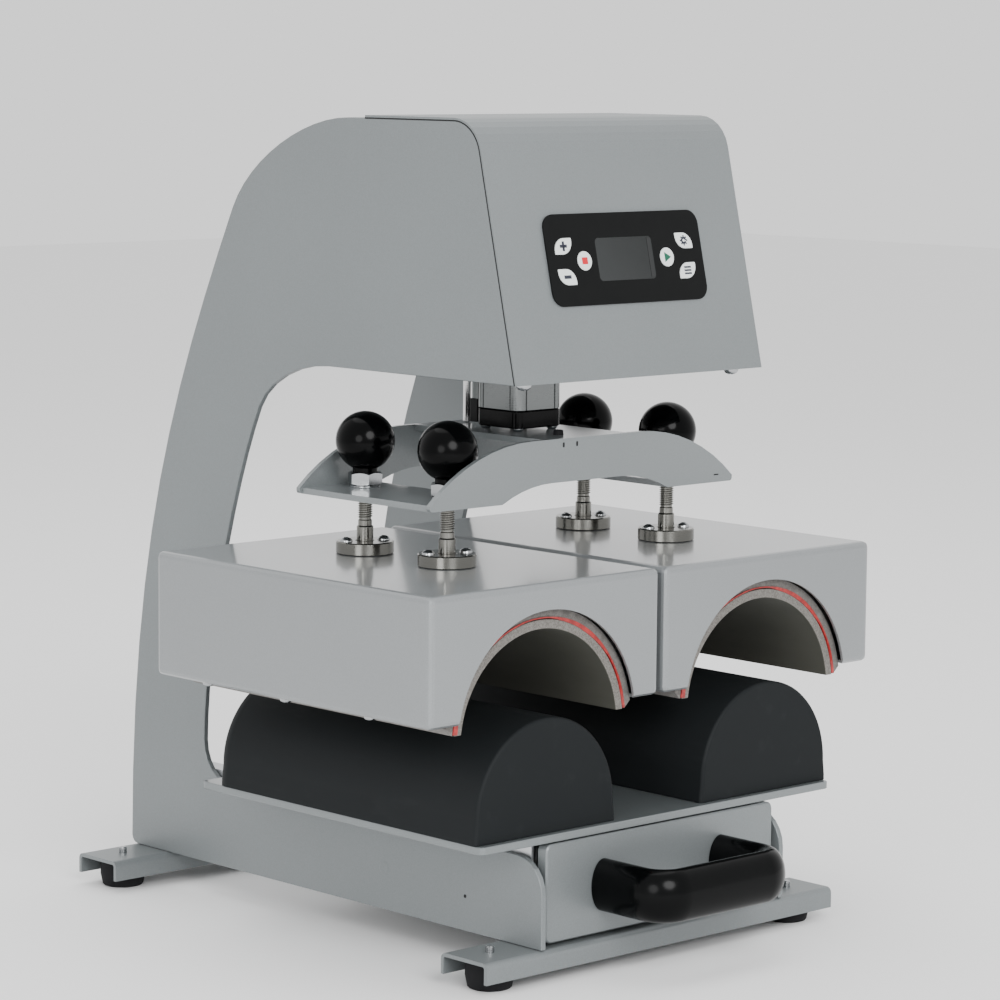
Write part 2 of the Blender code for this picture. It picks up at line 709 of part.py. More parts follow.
def make_controller(panel):
    """The controller board on four standoffs behind the panel, with its display standing through the cover."""
    start = -COVER_SHEET - CLEARANCE
    back = start - STANDOFF_LENGTH
    half_width, half_height = PANEL_WIDTH / 2, PANEL_HEIGHT / 2
    board = block((-half_width, -half_height, back - BOARD_SHEET), (half_width, half_height, back))
    piece = add_piece("display_board", board, "board", panel)
    window_x, window_y = WINDOW_WIDTH / 2, WINDOW_HEIGHT / 2
    face = CLEARANCE + PANEL_SHEET - WINDOW_SINK
    posts = block((-window_x, -window_y, back - BOARD_SHEET / 2), (window_x, window_y, face))
    inset = BOARD_MARGIN + STANDOFF_RADIUS
    low = back - BOARD_SHEET / 2
    profile = [(0, low), (STANDOFF_RADIUS, low), (STANDOFF_RADIUS, start), (0, start)]
    for x in (inset - half_width, half_width - inset):
        for y in (inset - half_height, half_height - inset):
            add_turned(posts, profile, (x, y), segments=12)
    shape_with(piece, "display_and_standoffs", posts, "UNION")


def inlet_matrix():
    """The frame of the power inlet on the rear cover's outside: Y up the slope and Z outwards."""
    low = INLET_HEIGHT - MODULE_HEIGHT / 2
    high = INLET_HEIGHT + MODULE_HEIGHT / 2
    foot, head = Vector((back_depth(low), low)), Vector((back_depth(high), high))
    run = (head - foot).normalized()
    outward = Vector((run.y, -run.x))
    bulge = max((Vector(point) - foot).dot(outward) for point in back_curve() if low <= point[1] <= high)
    middle = (foot + head) / 2 + max(bulge, 0) * outward
    turn = math.atan2(run.y, run.x)
    flip = Matrix.Rotation(math.pi, 4, "Y")
    return Matrix.Translation((0, middle.x, middle.y)) @ Matrix.Rotation(turn, 4, "X") @ flip


def inlet_empty(machine):
    """The empty that carries the power inlet and its switch."""
    empty = add_empty("inlet_face", (0, 0, 0), machine)
    empty.matrix_local = inlet_matrix()
    return empty


def make_power_module(inlet):
    """The inlet for a mains lead, with a rocker switch above it in the same moulding."""
    flange_top = CLEARANCE + MODULE_FLANGE
    half_width, half_height = MODULE_WIDTH / 2, MODULE_HEIGHT / 2
    outline = rounded_rectangle(half_width, half_height, MODULE_MARGIN)
    module = add_piece("power_module", prism(outline, "Z", CLEARANCE, flange_top), "black_plastic", inlet)
    wide, tall = half_width - MODULE_MARGIN, half_height - MODULE_MARGIN
    body = block((-wide, -tall, -MODULE_DEPTH), (wide, tall, CLEARANCE + MODULE_FLANGE / 2))
    shape_with(module, "module_body", body, "UNION")
    socket = rounded_rectangle(SOCKET_WIDTH / 2, SOCKET_HEIGHT / 2, SOCKET_RADIUS, (0, -SOCKET_DROP), 3)
    hollows = prism(socket, "Z", flange_top - SOCKET_DEPTH, flange_top + OVERRUN)
    pocket_x, pocket_y = ROCKER_WIDTH / 2 + CLEARANCE, ROCKER_LENGTH / 2 + CLEARANCE
    lows = (-pocket_x, ROCKER_RISE - pocket_y, flange_top - ROCKER_POCKET)
    add_block(hollows, lows, (pocket_x, ROCKER_RISE + pocket_y, flange_top + OVERRUN))
    shape_with(module, "module_hollows", hollows, "DIFFERENCE")
    contacts = bmesh.new()
    floor = flange_top - SOCKET_DEPTH
    for column, row in ((-1, -1), (0, 1), (1, -1)):
        x, y = column * CONTACT_PITCH, row * CONTACT_OFFSET - SOCKET_DROP
        lows = (x - CONTACT_WIDTH / 2, y - CONTACT_HEIGHT / 2, floor - CONTACT_WIDTH)
        highs = (x + CONTACT_WIDTH / 2, y + CONTACT_HEIGHT / 2, floor + CONTACT_LENGTH)
        add_block(contacts, lows, highs)
    shape_with(module, "contacts", contacts, "UNION")


def make_rocker(inlet):
    """The mains rocker, drawn with its upper half pressed in."""
    pivot = CLEARANCE + MODULE_FLANGE - ROCKER_PIVOT
    half = ROCKER_LENGTH / 2
    dip = ROCKER_THICKNESS / 4
    tilt = math.radians(ROCKER_TILT_DEGREES)
    edge = half * math.cos(tilt) - ROCKER_THICKNESS * math.sin(tilt)
    profile = [(-edge, -dip), (-edge, dip + ROCKER_PIVOT), (0, dip), (edge, dip + ROCKER_PIVOT), (edge, -dip)]
    keel = arc((0, 0), ROCKER_THICKNESS, -35, -145, 6)
    turn = Matrix.Rotation(-tilt, 2)
    outline = [turn @ Vector(point) + Vector((ROCKER_RISE, pivot)) for point in profile + keel]
    bm = prism(outline, "X", -ROCKER_WIDTH / 2, ROCKER_WIDTH / 2)
    add_piece("rocker_switch", bm, "black_gloss", inlet, (0, ROCKER_RISE, pivot))


def actuator_outline():
    """A square extrusion whose four faces are set back between corner strips."""
    half = ACTUATOR_SIZE / 2
    edge = half - ACTUATOR_STRIP
    low = half - ACTUATOR_GROOVE
    quarter = [(half, -half), (half, -edge), (low, -edge), (low, edge), (half, edge)]
    points = []
    for turn in range(4):
        c, s = round(math.cos(turn * math.pi / 2)), round(math.sin(turn * math.pi / 2))
        points += [(x * c - y * s, PRESS_DEPTH + x * s + y * c) for x, y in quarter]
    return points


def make_actuator(machine):
    """The actuator body through the head's floor, bored for the piston, and its end cap."""
    top = ACTUATOR_BOTTOM + ACTUATOR_LENGTH
    body = add_piece("actuator_body", prism(actuator_outline(), "Z", ACTUATOR_BOTTOM, top), "aluminium", machine)
    cap_top = ACTUATOR_BOTTOM - CLEARANCE
    cap_bottom = cap_top - CAP_HEIGHT
    outline = rounded_rectangle(ACTUATOR_SIZE / 2, ACTUATOR_SIZE / 2, CAP_RADIUS, (0, PRESS_DEPTH))
    cap = add_piece("actuator_end_cap", prism(outline, "Z", cap_bottom, cap_top), "black_plastic", machine)
    radius = PISTON_RADIUS + CLEARANCE
    low, high = cap_bottom - OVERRUN, ACTUATOR_BOTTOM + ACTUATOR_BORE_DEPTH
    profile = [(0, low), (radius, low), (radius, high), (0, high)]
    for piece, name in ((body, "piston_bore"), (cap, "cap_bore")):
        shape_with(piece, name, turned(profile, (0, PRESS_DEPTH), segments=24), "DIFFERENCE")


def make_limit_switch(machine):
    """The limit switch on a folded strip under the head's floor, behind the actuator."""
    low = YOKE_TOP + SWITCH_LIFT
    front = PRESS_DEPTH + ACTUATOR_SIZE / 2 + SWITCH_GAP
    rear = front + SWITCH_THICKNESS
    switch = block((-SWITCH_WIDTH, front, low), (0, rear, low + SWITCH_HEIGHT))
    piece = add_piece("limit_switch", switch, "black_plastic", machine)
    top = floor_level() - CLEARANCE
    strip = [
        (rear - SWITCH_STRIP / 2, low + SWITCH_HEIGHT / 4),
        (rear + SWITCH_STRIP / 2, low + SWITCH_HEIGHT / 4),
        (rear + SWITCH_STRIP / 2, top),
        (rear - SWITCH_FOOT, top),
        (rear - SWITCH_FOOT, top - SWITCH_STRIP),
        (rear - SWITCH_STRIP / 2, top - SWITCH_STRIP),
    ]
    margin = SWITCH_WIDTH / 8
    bracket = prism(strip, "X", margin - SWITCH_WIDTH, -margin)
    shape_with(piece, "switch_bracket", bracket, "UNION")


def yoke_outline():
    """A yoke flange as (x, height) points: flat crown, long shoulders and a shallow arch below."""
    shoulder_end = math.degrees(math.acos((YOKE_REACH - YOKE_FLAT) / YOKE_SHOULDER_RADIUS))
    shoulder = arc((YOKE_FLAT, YOKE_TOP - YOKE_SHOULDER_RADIUS), YOKE_SHOULDER_RADIUS, 90, shoulder_end, 8)
    tip = arc((YOKE_REACH - YOKE_TIP_RADIUS, YOKE_BOTTOM + YOKE_TIP_RADIUS), YOKE_TIP_RADIUS, 0, -90, 2)
    arch_top = YOKE_BOTTOM + YOKE_ARCH_RISE
    arch_centre = (YOKE_ARCH_FLAT, arch_top - YOKE_ARCH_RADIUS)
    arch_end = math.degrees(math.asin(1 - YOKE_ARCH_RISE / YOKE_ARCH_RADIUS))
    half = shoulder + tip + arc(arch_centre, YOKE_ARCH_RADIUS, arch_end, 90, 5)
    return half + [(-x, z) for x, z in half[::-1]]


def rod_places(sides=(-1, 1)):
    """The four adjusting rods: side, name and place in plan."""
    rows = (("front", -ROD_SPACING / 2), ("rear", ROD_SPACING / 2))
    names = {-1: "left", 1: "right"}
    return [
        (side, names[side] + "_" + row, (side * LANE, PRESS_DEPTH + offset)) for side in sides for row, offset in rows
    ]


def hexagon(flats, centre, height, per_side=3):
    """Points round a hexagon, as many on each side."""
    corners = [Vector(p) for p in arc((0, 0), flats / math.sqrt(3), 0, 360, 6)]
    points = []
    for a, b in zip(corners, corners[1:]):
        points += [a.lerp(b, i / per_side) for i in range(per_side)]
    return [(centre[0] + p.x, centre[1] + p.y, height) for p in points]


def circle_ring(radius, centre, height, count=18):
    """Points round a circle."""
    turn = 360 * (count - 1) / count
    return [(x, y, height) for x, y in arc(centre, radius, 0, turn, count - 1)]


def weld_nuts():
    """The hexagon nuts on washers that carry the rods' threads, sunk a little into the wings."""
    bm = bmesh.new()
    shelf = WING_TOP + WASHER_SHEET
    for _, _, centre in rod_places():
        rings = [
            circle_ring(WASHER_RADIUS, centre, WING_TOP - DECK_SHEET / 4),
            circle_ring(WASHER_RADIUS, centre, shelf),
            hexagon(NUT_FLATS, centre, shelf),
            hexagon(NUT_FLATS, centre, shelf + NUT_HEIGHT),
        ]
        add_rings(bm, rings)
    return bm


def make_yoke(machine):
    """The welded yoke: two shaped flanges joined by a deck and two wings, with a weld nut over each rod hole."""
    origin = (0, PRESS_DEPTH, YOKE_BOTTOM)
    front, rear = PRESS_DEPTH - YOKE_DEPTH / 2, PRESS_DEPTH + YOKE_DEPTH / 2
    flanges = prism(yoke_outline(), "Y", front, front + YOKE_SHEET)
    add_prism(flanges, yoke_outline(), "Y", rear - YOKE_SHEET, rear)
    yoke = add_piece("yoke", flanges, "grey_paint", machine, origin)
    inside = YOKE_SHEET / 2
    plates = block(
        (-DECK_HALF_WIDTH, front + inside, YOKE_TOP - DECK_SHEET), (DECK_HALF_WIDTH, rear - inside, YOKE_TOP)
    )
    for side in (-1, 1):
        near, far = mirrored_span(side, WING_START, YOKE_REACH - YOKE_TIP_RADIUS)
        add_block(plates, (near, front + inside, YOKE_BOTTOM), (far, rear - inside, WING_TOP))
    shape_with(yoke, "deck_and_wings", plates, "UNION")
    shape_with(yoke, "weld_nuts", weld_nuts(), "UNION")
    holes = bmesh.new()
    radius = ROD_RADIUS + CLEARANCE
    low, high = YOKE_BOTTOM - OVERRUN, WING_TOP + WASHER_SHEET + NUT_HEIGHT + OVERRUN
    profile = [(0, low), (radius, low), (radius, high), (0, high)]
    for _, _, centre in rod_places():
        add_turned(holes, profile, centre, segments=16)
    shape_with(yoke, "rod_holes", holes, "DIFFERENCE")


def rod_profile(radius, low, high):
    """A plain rod with chamfered ends."""
    waist = radius - ROD_CHAMFER
    return [(0, low), (waist, low), (radius, low + ROD_CHAMFER), (radius, high - ROD_CHAMFER), (waist, high), (0, high)]


def make_press_rods(machine):
    """The piston rod and the guide rod, both standing on the yoke's deck."""
    low = YOKE_TOP + CLEARANCE
    piston = rod_profile(PISTON_RADIUS, low, low + PISTON_LENGTH)
    centre = (0, PRESS_DEPTH)
    add_piece("piston_rod", turned(piston, centre, segments=24), "chrome", machine, (*centre, low))
    guide = rod_profile(GUIDE_RADIUS, low, low + GUIDE_LENGTH)
    centre = (0, PRESS_DEPTH + GUIDE_OFFSET)
    add_piece("guide_rod", turned(guide, centre, segments=20), "chrome", machine, (*centre, low))


def make_flanges(machine, side):
    """The two turned flanges on a platen that trap the heads of its adjusting rods."""
    top = FLANGE_BOTTOM + FLANGE_HEIGHT
    shelf = FLANGE_BOTTOM + CLEARANCE + ROD_HEAD_HEIGHT + CLEARANCE
    bore, pocket = STEM_RADIUS + CLEARANCE, ROD_HEAD_RADIUS + CLEARANCE
    profile = [
        (pocket, FLANGE_BOTTOM),
        (FLANGE_RADIUS, FLANGE_BOTTOM),
        (FLANGE_RADIUS, top - FLANGE_EDGE),
        (FLANGE_RADIUS - FLANGE_EDGE, top),
        (bore, top),
        (bore, shelf),
        (pocket, shelf),
    ]
    for _, name, centre in rod_places((side,)):
        add_piece("rod_flange_" + name, turned(profile, centre, ring=True), "steel", machine)


def make_adjusters(machine):
    """The four threaded rods with their ball knobs, each turning about its own axis."""
    foot = FLANGE_BOTTOM + CLEARANCE
    shelf = foot + ROD_HEAD_HEIGHT
    ball_low = BALL_CENTRE - BALL_RADIUS - BALL_COLLAR_DROP
    bore_top = ball_low + BALL_BORE_DEPTH
    rod_top = bore_top - CLEARANCE
    rod = [
        (0, foot),
        (ROD_HEAD_RADIUS, foot),
        (ROD_HEAD_RADIUS, shelf),
        (STEM_RADIUS, shelf),
        (STEM_RADIUS, STEM_TOP),
        (ROD_RADIUS, STEM_TOP),
        (ROD_RADIUS, rod_top - ROD_CHAMFER),
        (ROD_RADIUS - ROD_CHAMFER, rod_top),
        (0, rod_top),
    ]
    bore = ROD_RADIUS + CLEARANCE
    neck = math.degrees(math.asin(BALL_COLLAR_RADIUS / BALL_RADIUS))
    sphere = arc((0, BALL_CENTRE), BALL_RADIUS, neck - 90, 90, 9)
    ball = [(0, bore_top), (bore, bore_top), (bore, ball_low), (BALL_COLLAR_RADIUS, ball_low)] + sphere[:-1]
    ball.append((0, BALL_CENTRE + BALL_RADIUS))
    for _, name, centre in rod_places():
        add_piece("threaded_rod_" + name, turned(rod, centre, segments=16), "zinc", machine, (*centre, foot))
        add_piece("ball_knob_" + name, turned(ball, centre, segments=20), "black_gloss", machine, (*centre, BALL_CENTRE))


def platen_span(side, inset=0.0):
    """The X span of a platen housing, drawn in by an inset."""
    near = PLATEN_GAP / 2
    return mirrored_span(side, near + inset, near + PLATEN_WIDTH - inset)


def make_housing(machine, side, name):
    """A folded steel housing with an arch through its front and rear walls and a slot in its underside."""
    left, right = platen_span(side)
    rear = PLATEN_FRONT + PLATEN_LENGTH
    shell = block((left, PLATEN_FRONT, PLATEN_BOTTOM), (right, rear, PLATEN_TOP))
    housing = add_piece("platen_housing_" + name, shell, "satin_shell", machine)
    round_edges(housing, PLATEN_EDGE, 3)
    left, right = platen_span(side, PLATEN_WALL)
    front, back = PLATEN_FRONT + PLATEN_WALL, rear - PLATEN_WALL
    cavity = block((left, front, PLATEN_BOTTOM + PLATEN_WALL), (right, back, PLATEN_TOP - PLATEN_WALL))
    shape_with(housing, "cavity_" + name, cavity, "DIFFERENCE")
    circle = arc((side * LANE, ARCH_CENTRE), ARCH_RADIUS, 0, 355, 71)
    arch = prism(circle, "Y", PLATEN_FRONT - OVERRUN, rear + OVERRUN)
    shape_with(housing, "arch_" + name, arch, "DIFFERENCE")
    half = BACKING_RADIUS + 3 * CLEARANCE
    lows = (side * LANE - half, front, PLATEN_BOTTOM - OVERRUN)
    slot = block(lows, (side * LANE + half, back, PLATEN_BOTTOM + PLATEN_WALL + OVERRUN))
    shape_with(housing, "slot_" + name, slot, "DIFFERENCE")


def make_insulation(machine, side, name):
    """The insulation that fills the housing, with its felt lip behind the heated arch."""
    left, right = platen_span(side, PLATEN_WALL + CLEARANCE)
    inset = PLATEN_WALL + CLEARANCE
    low, high = PLATEN_BOTTOM + inset, PLATEN_TOP - inset
    end = math.degrees(math.asin((low - PAD_CENTRE) / BACKING_RADIUS))
    bore = arc((side * LANE, PAD_CENTRE), BACKING_RADIUS, end, 180 - end, SEGMENTS)
    outline = [(left, low), (left, high), (right, high), (right, low)] + bore
    bm = prism(outline, "Y", PLATEN_FRONT + inset, PLATEN_FRONT + PLATEN_LENGTH - inset)
    insulation = add_piece("insulation_" + name, bm, "insulation", machine)
    lip = pad_layer(side, BACKING_RADIUS + CLEARANCE, BACKING_SHEET + CLEARANCE, BACKING_HANG)
    shape_with(insulation, "felt_lip_" + name, lip, "UNION")


def pad_layer(side, outer, sheet, hang):
    """One layer of the heated arch, hanging a little below the housing."""
    inner = outer - sheet
    low = PLATEN_BOTTOM - hang - PAD_CENTRE
    outer_end, inner_end = (math.degrees(math.asin(low / radius)) for radius in (outer, inner))
    centre = (side * LANE, PAD_CENTRE)
    outline = arc(centre, outer, outer_end, 180 - outer_end, SEGMENTS)
    outline += arc(centre, inner, 180 - inner_end, inner_end, SEGMENTS)
    return prism(outline, "Y", PLATEN_FRONT + PAD_RECESS, PLATEN_FRONT + PLATEN_LENGTH - PAD_RECESS)


def make_platens(machine):
    """The two heated platens."""
    for side, name in ((-1, "left"), (1, "right")):
        make_housing(machine, side, name)
        make_insulation(machine, side, name)
        make_flanges(machine, side)
        mat_radius = BACKING_RADIUS - BACKING_SHEET - CLEARANCE
        lining_radius = mat_radius - MAT_SHEET - CLEARANCE
        mat = pad_layer(side, mat_radius, MAT_SHEET, MAT_HANG)
        add_piece("heater_mat_" + name, mat, "heater", machine)
        lining = pad_layer(side, lining_radius, LINING_SHEET, LINING_HANG)
        add_piece("press_lining_" + name, lining, "lining", machine)


def form_section(inset, depth, lane):
    """A form's cross-section, drawn in by an inset, as points at one depth."""
    base = TRAY_TOP + CLEARANCE
    radius = FORM_RADIUS - inset
    top = arc((0, TRAY_TOP + FORM_SHOULDER), radius, 0, 180, 20)
    foot = FORM_HALF_WIDTH - inset
    outline = [(foot, base)] + top + [(-foot, base)]
    return [(lane + x, depth, z) for x, z in outline]


def make_forms(machine):
    """The two rubber forms that the socks are pulled over, rounder at the rear than at the front."""
    rear = FORM_FRONT + FORM_LENGTH
    for side, name in ((-1, "form_left"), (1, "form_right")):
        rings = []
        for x, y in arc((FORM_FRONT_ROUND, FORM_FRONT_ROUND), FORM_FRONT_ROUND, 180, 270, 3):
            rings.append(form_section(max(y, 0), FORM_FRONT + x, side * LANE))
        for x, y in arc((-FORM_REAR_ROUND, FORM_REAR_ROUND), FORM_REAR_ROUND, 270, 360, 4):
            rings.append(form_section(max(y, 0), rear + x, side * LANE))
        add_piece(name, add_rings(bmesh.new(), rings), "rubber", machine)


def make_tray(machine):
    """The flat tray that carries the forms."""
    middle = TRAY_FRONT + TRAY_LENGTH / 2
    outline = rounded_rectangle(TRAY_WIDTH / 2, TRAY_LENGTH / 2, TRAY_RADIUS, (0, middle))
    tray = add_piece("tray_plate", prism(outline, "Z", TRAY_TOP - TRAY_SHEET, TRAY_TOP), "grey_paint", machine)
    round_edges(tray, PLATE_EDGE, 1)


def make_drawer_front(machine):
    """The pressed drawer front, a shallow pan open to the rear."""
    half_width, half_height = DRAWER_WIDTH / 2, DRAWER_HEIGHT / 2
    centre = (0, DRAWER_BOTTOM + half_height)
    rear = DRAWER_FACE + DRAWER_RETURN
    inner_radius = DRAWER_RADIUS - DRAWER_SHEET
    inner_size = (half_width - DRAWER_SHEET, half_height - DRAWER_SHEET, inner_radius)
    rings = []
    for inset, depth in ((DRAWER_SHEET / 2, DRAWER_FACE), (0, DRAWER_FACE + DRAWER_SHEET / 2), (0, rear)):
        outline = rounded_rectangle(half_width - inset, half_height - inset, DRAWER_RADIUS - inset, centre)
        rings.append([(x, depth, z) for x, z in outline])
    for depth in (rear, DRAWER_FACE + DRAWER_SHEET):
        rings.append([(x, depth, z) for x, z in rounded_rectangle(*inner_size, centre)])
    add_piece("drawer_front", add_rings(bmesh.new(), rings), "grey_paint", machine)


def make_drawer_sides(machine):
    """The angle plates that join the tray and the drawer front to the sliding rails."""
    outer = RAIL_INSIDE - CLEARANCE
    front = DRAWER_FACE + DRAWER_SHEET + CLEARANCE
    start = DRAWER_FACE + DRAWER_RETURN + CLEARANCE
    rear = TRAY_FRONT + TRAY_LENGTH
    top = TRAY_TOP - TRAY_SHEET - CLEARANCE
    notch = DRAWER_BOTTOM + DRAWER_HEIGHT - DRAWER_SHEET - SIDE_NOTCH
    inner = outer - SIDE_SHEET
    lip = inner - SIDE_FLANGE
    section = [
        (outer, SIDE_BOTTOM),
        (outer, top),
        (lip, top),
        (lip, top - SIDE_SHEET),
        (inner, top - SIDE_SHEET),
        (inner, SIDE_BOTTOM),
    ]
    for side, name in ((-1, "drawer_side_left"), (1, "drawer_side_right")):
        outline = [(side * x, z) for x, z in section]
        piece = add_piece(name, prism(outline, "Y", front, rear), "grey_paint", machine)
        near, far = mirrored_span(side, lip - OVERRUN, outer + OVERRUN)
        corner = block((near, front - OVERRUN, notch), (far, start, top + OVERRUN))
        shape_with(piece, "notch_of_" + name, corner, "DIFFERENCE")


def handle_outline(inset):
    """The bridge handle in plan, drawn in by an inset."""
    reach = DRAWER_FACE - HANDLE_REACH
    half = HANDLE_WIDTH / 2
    seat = DRAWER_FACE - CLEARANCE
    inner_half = half - HANDLE_LEG
    inner_front = reach + HANDLE_BAR
    corner = (half - HANDLE_RADIUS, reach + HANDLE_RADIUS)
    grip = (inner_half - HANDLE_GRIP_RADIUS, inner_front + HANDLE_GRIP_RADIUS)
    outer = arc(corner, HANDLE_RADIUS - inset, 0, -90, 6)
    inner = arc(grip, HANDLE_GRIP_RADIUS + inset, -90, 0, 4)
    right = [(half - inset, seat)] + outer
    hollow = inner + [(inner_half + inset, seat)]
    left = [(-x, y) for x, y in right[::-1]]
    hollow_left = [(-x, y) for x, y in hollow[::-1]]
    return right + left + hollow_left + hollow


def make_handle(machine):
    """The black bridge handle on the drawer front."""
    top = HANDLE_BOTTOM + HANDLE_HEIGHT
    rings = []
    for x, z in arc((HANDLE_ROUND, HANDLE_BOTTOM + HANDLE_ROUND), HANDLE_ROUND, 270, 180, 3):
        rings.append([(a, b, z) for a, b in handle_outline(x)])
    for x, z in arc((HANDLE_ROUND, top - HANDLE_ROUND), HANDLE_ROUND, 180, 90, 3):
        rings.append([(a, b, z) for a, b in handle_outline(x)])
    add_piece("drawer_handle", add_rings(bmesh.new(), rings), "black_gloss", machine)


def rail_member(side, near, far, low, high, opens_in):
    """A folded rail section: a web and two lips that point in to the drawer or out to the plate."""
    web = (far - RAIL_SHEET, far) if opens_in else (near, near + RAIL_SHEET)
    lip = near if opens_in else far
    face, back = (web[0], web[1]) if opens_in else (web[1], web[0])
    section = [
        (back, low),
        (back, high),
        (lip, high),
        (lip, high - RAIL_SHEET),
        (face, high - RAIL_SHEET),
        (face, low + RAIL_SHEET),
        (lip, low + RAIL_SHEET),
        (lip, low),
    ]
    return [(side * x, z) for x, z in section]


def make_rails(machine):
    """Three-part telescopic rails: fixed to the side plates, running between, and carrying the drawer."""
    step = RAIL_SHEET + RAIL_RUN
    rear = RAIL_FRONT + RAIL_LENGTH
    low, high = RAIL_BOTTOM, RAIL_BOTTOM + RAIL_HEIGHT
    members = (
        ("slide_rail_fixed_", RAIL_INSIDE + 2 * RAIL_SHEET, RAIL_OUTSIDE, 0, True),
        ("slide_rail_middle_", RAIL_INSIDE + RAIL_SHEET + RAIL_RUN, RAIL_OUTSIDE - RAIL_STEP, 1, True),
        ("slide_rail_inner_", RAIL_INSIDE, RAIL_OUTSIDE - 2 * RAIL_STEP, 2, False),
    )
    for name, near, far, order, opens_in in members:
        for side, hand in ((-1, "left"), (1, "right")):
            outline = rail_member(side, near, far, low + order * step, high - order * step, opens_in)
            bm = prism(outline, "Y", RAIL_FRONT, rear - order * RAIL_SHORTER)
            add_piece(name + hand, bm, "zinc", machine)


def build():
    """Makes the whole machine."""
    clear_scene()
    machine = add_empty("machine", (0, FRONT, 0))
    inlet = inlet_empty(machine)
    panel = panel_empty(machine)
    make_side_plates(machine)
    make_channels(machine)
    make_feet(machine)
    cover = make_front_cover(machine)
    make_rear_cover(machine)
    make_floor(machine)
    make_panel(panel, cover)
    make_controller(panel)
    make_power_module(inlet)
    make_rocker(inlet)
    make_actuator(machine)
    make_limit_switch(machine)
    make_yoke(machine)
    make_press_rods(machine)
    make_adjusters(machine)
    make_platens(machine)
    make_tray(machine)
    make_forms(machine)
    make_drawer_front(machine)
    make_handle(machine)
    make_drawer_sides(machine)
    make_rails(machine)


build()
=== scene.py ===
"""Looks of the sock heat press: finishes, threads, screws, printed keys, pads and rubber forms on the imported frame."""

import math

import bmesh
import bpy
from mathutils import Matrix, Vector


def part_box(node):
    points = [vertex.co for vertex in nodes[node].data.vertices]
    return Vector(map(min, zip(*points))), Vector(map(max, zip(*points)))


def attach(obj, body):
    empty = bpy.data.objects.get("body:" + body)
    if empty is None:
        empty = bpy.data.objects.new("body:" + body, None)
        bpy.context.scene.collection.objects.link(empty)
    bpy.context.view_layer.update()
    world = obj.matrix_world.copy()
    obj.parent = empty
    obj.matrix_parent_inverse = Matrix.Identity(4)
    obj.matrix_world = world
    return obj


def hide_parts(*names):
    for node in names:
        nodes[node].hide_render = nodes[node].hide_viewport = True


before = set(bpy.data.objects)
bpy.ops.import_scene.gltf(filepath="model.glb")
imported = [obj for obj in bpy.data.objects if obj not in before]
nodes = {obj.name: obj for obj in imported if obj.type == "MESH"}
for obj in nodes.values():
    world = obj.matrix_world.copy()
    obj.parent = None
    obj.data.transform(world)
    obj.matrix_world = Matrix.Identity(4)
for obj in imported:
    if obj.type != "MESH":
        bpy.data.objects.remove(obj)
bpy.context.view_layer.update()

SIDES = {"left": -1, "right": 1}
ROWS = ("front", "rear")
CORNERS = [side + "_" + row for side in SIDES for row in ROWS]
CORNER_SIGNS = ((1, 1), (-1, 1), (-1, -1), (1, -1))

# Places on the frame, in metres
LANE = 0.1025
ROD_ROWS = (-0.07905, 0.00275)
ROD_AXES = [(sx * LANE, y) for sx in SIDES.values() for y in ROD_ROWS]
WING_TOP, NUT_SEAT = 0.3040, 0.3056
SWITCH_TOP = 0.3585
HEAD_TOP, HEAD_BEND = 0.550, 0.025
SEAM_FOOT = (-0.15395, 0.3836)
PANEL_PLACE = (0.0, -0.137803, 0.460685)
PANEL_TILT_DEGREES = 13.14
PANEL_TILT = math.radians(PANEL_TILT_DEGREES)


# Finishes


class Value:
    """A number or colour that changes over a surface. Arithmetic on numbers adds Math nodes."""

    def __init__(self, finish, socket):
        self.finish = finish
        self.socket = socket

    def join(self, operation, first, second):
        """One Math node over two values or numbers."""
        inputs = {0: first, 1: second}
        return self.finish.node("ShaderNodeMath", {"operation": operation}, inputs)

    def __add__(self, other):
        return self.join("ADD", self, other)

    def __radd__(self, other):
        return self.join("ADD", other, self)

    def __sub__(self, other):
        return self.join("SUBTRACT", self, other)

    def __rsub__(self, other):
        return self.join("SUBTRACT", other, self)

    def __mul__(self, other):
        return self.join("MULTIPLY", self, other)

    def __rmul__(self, other):
        return self.join("MULTIPLY", other, self)

    def __truediv__(self, other):
        return self.join("DIVIDE", self, other)

    def __pow__(self, other):
        return self.join("POWER", self, other)

    def __gt__(self, other):
        return self.join("GREATER_THAN", self, other)

    def __lt__(self, other):
        return self.join("LESS_THAN", self, other)

    def __abs__(self):
        return self.join("ABSOLUTE", self, 0.0)


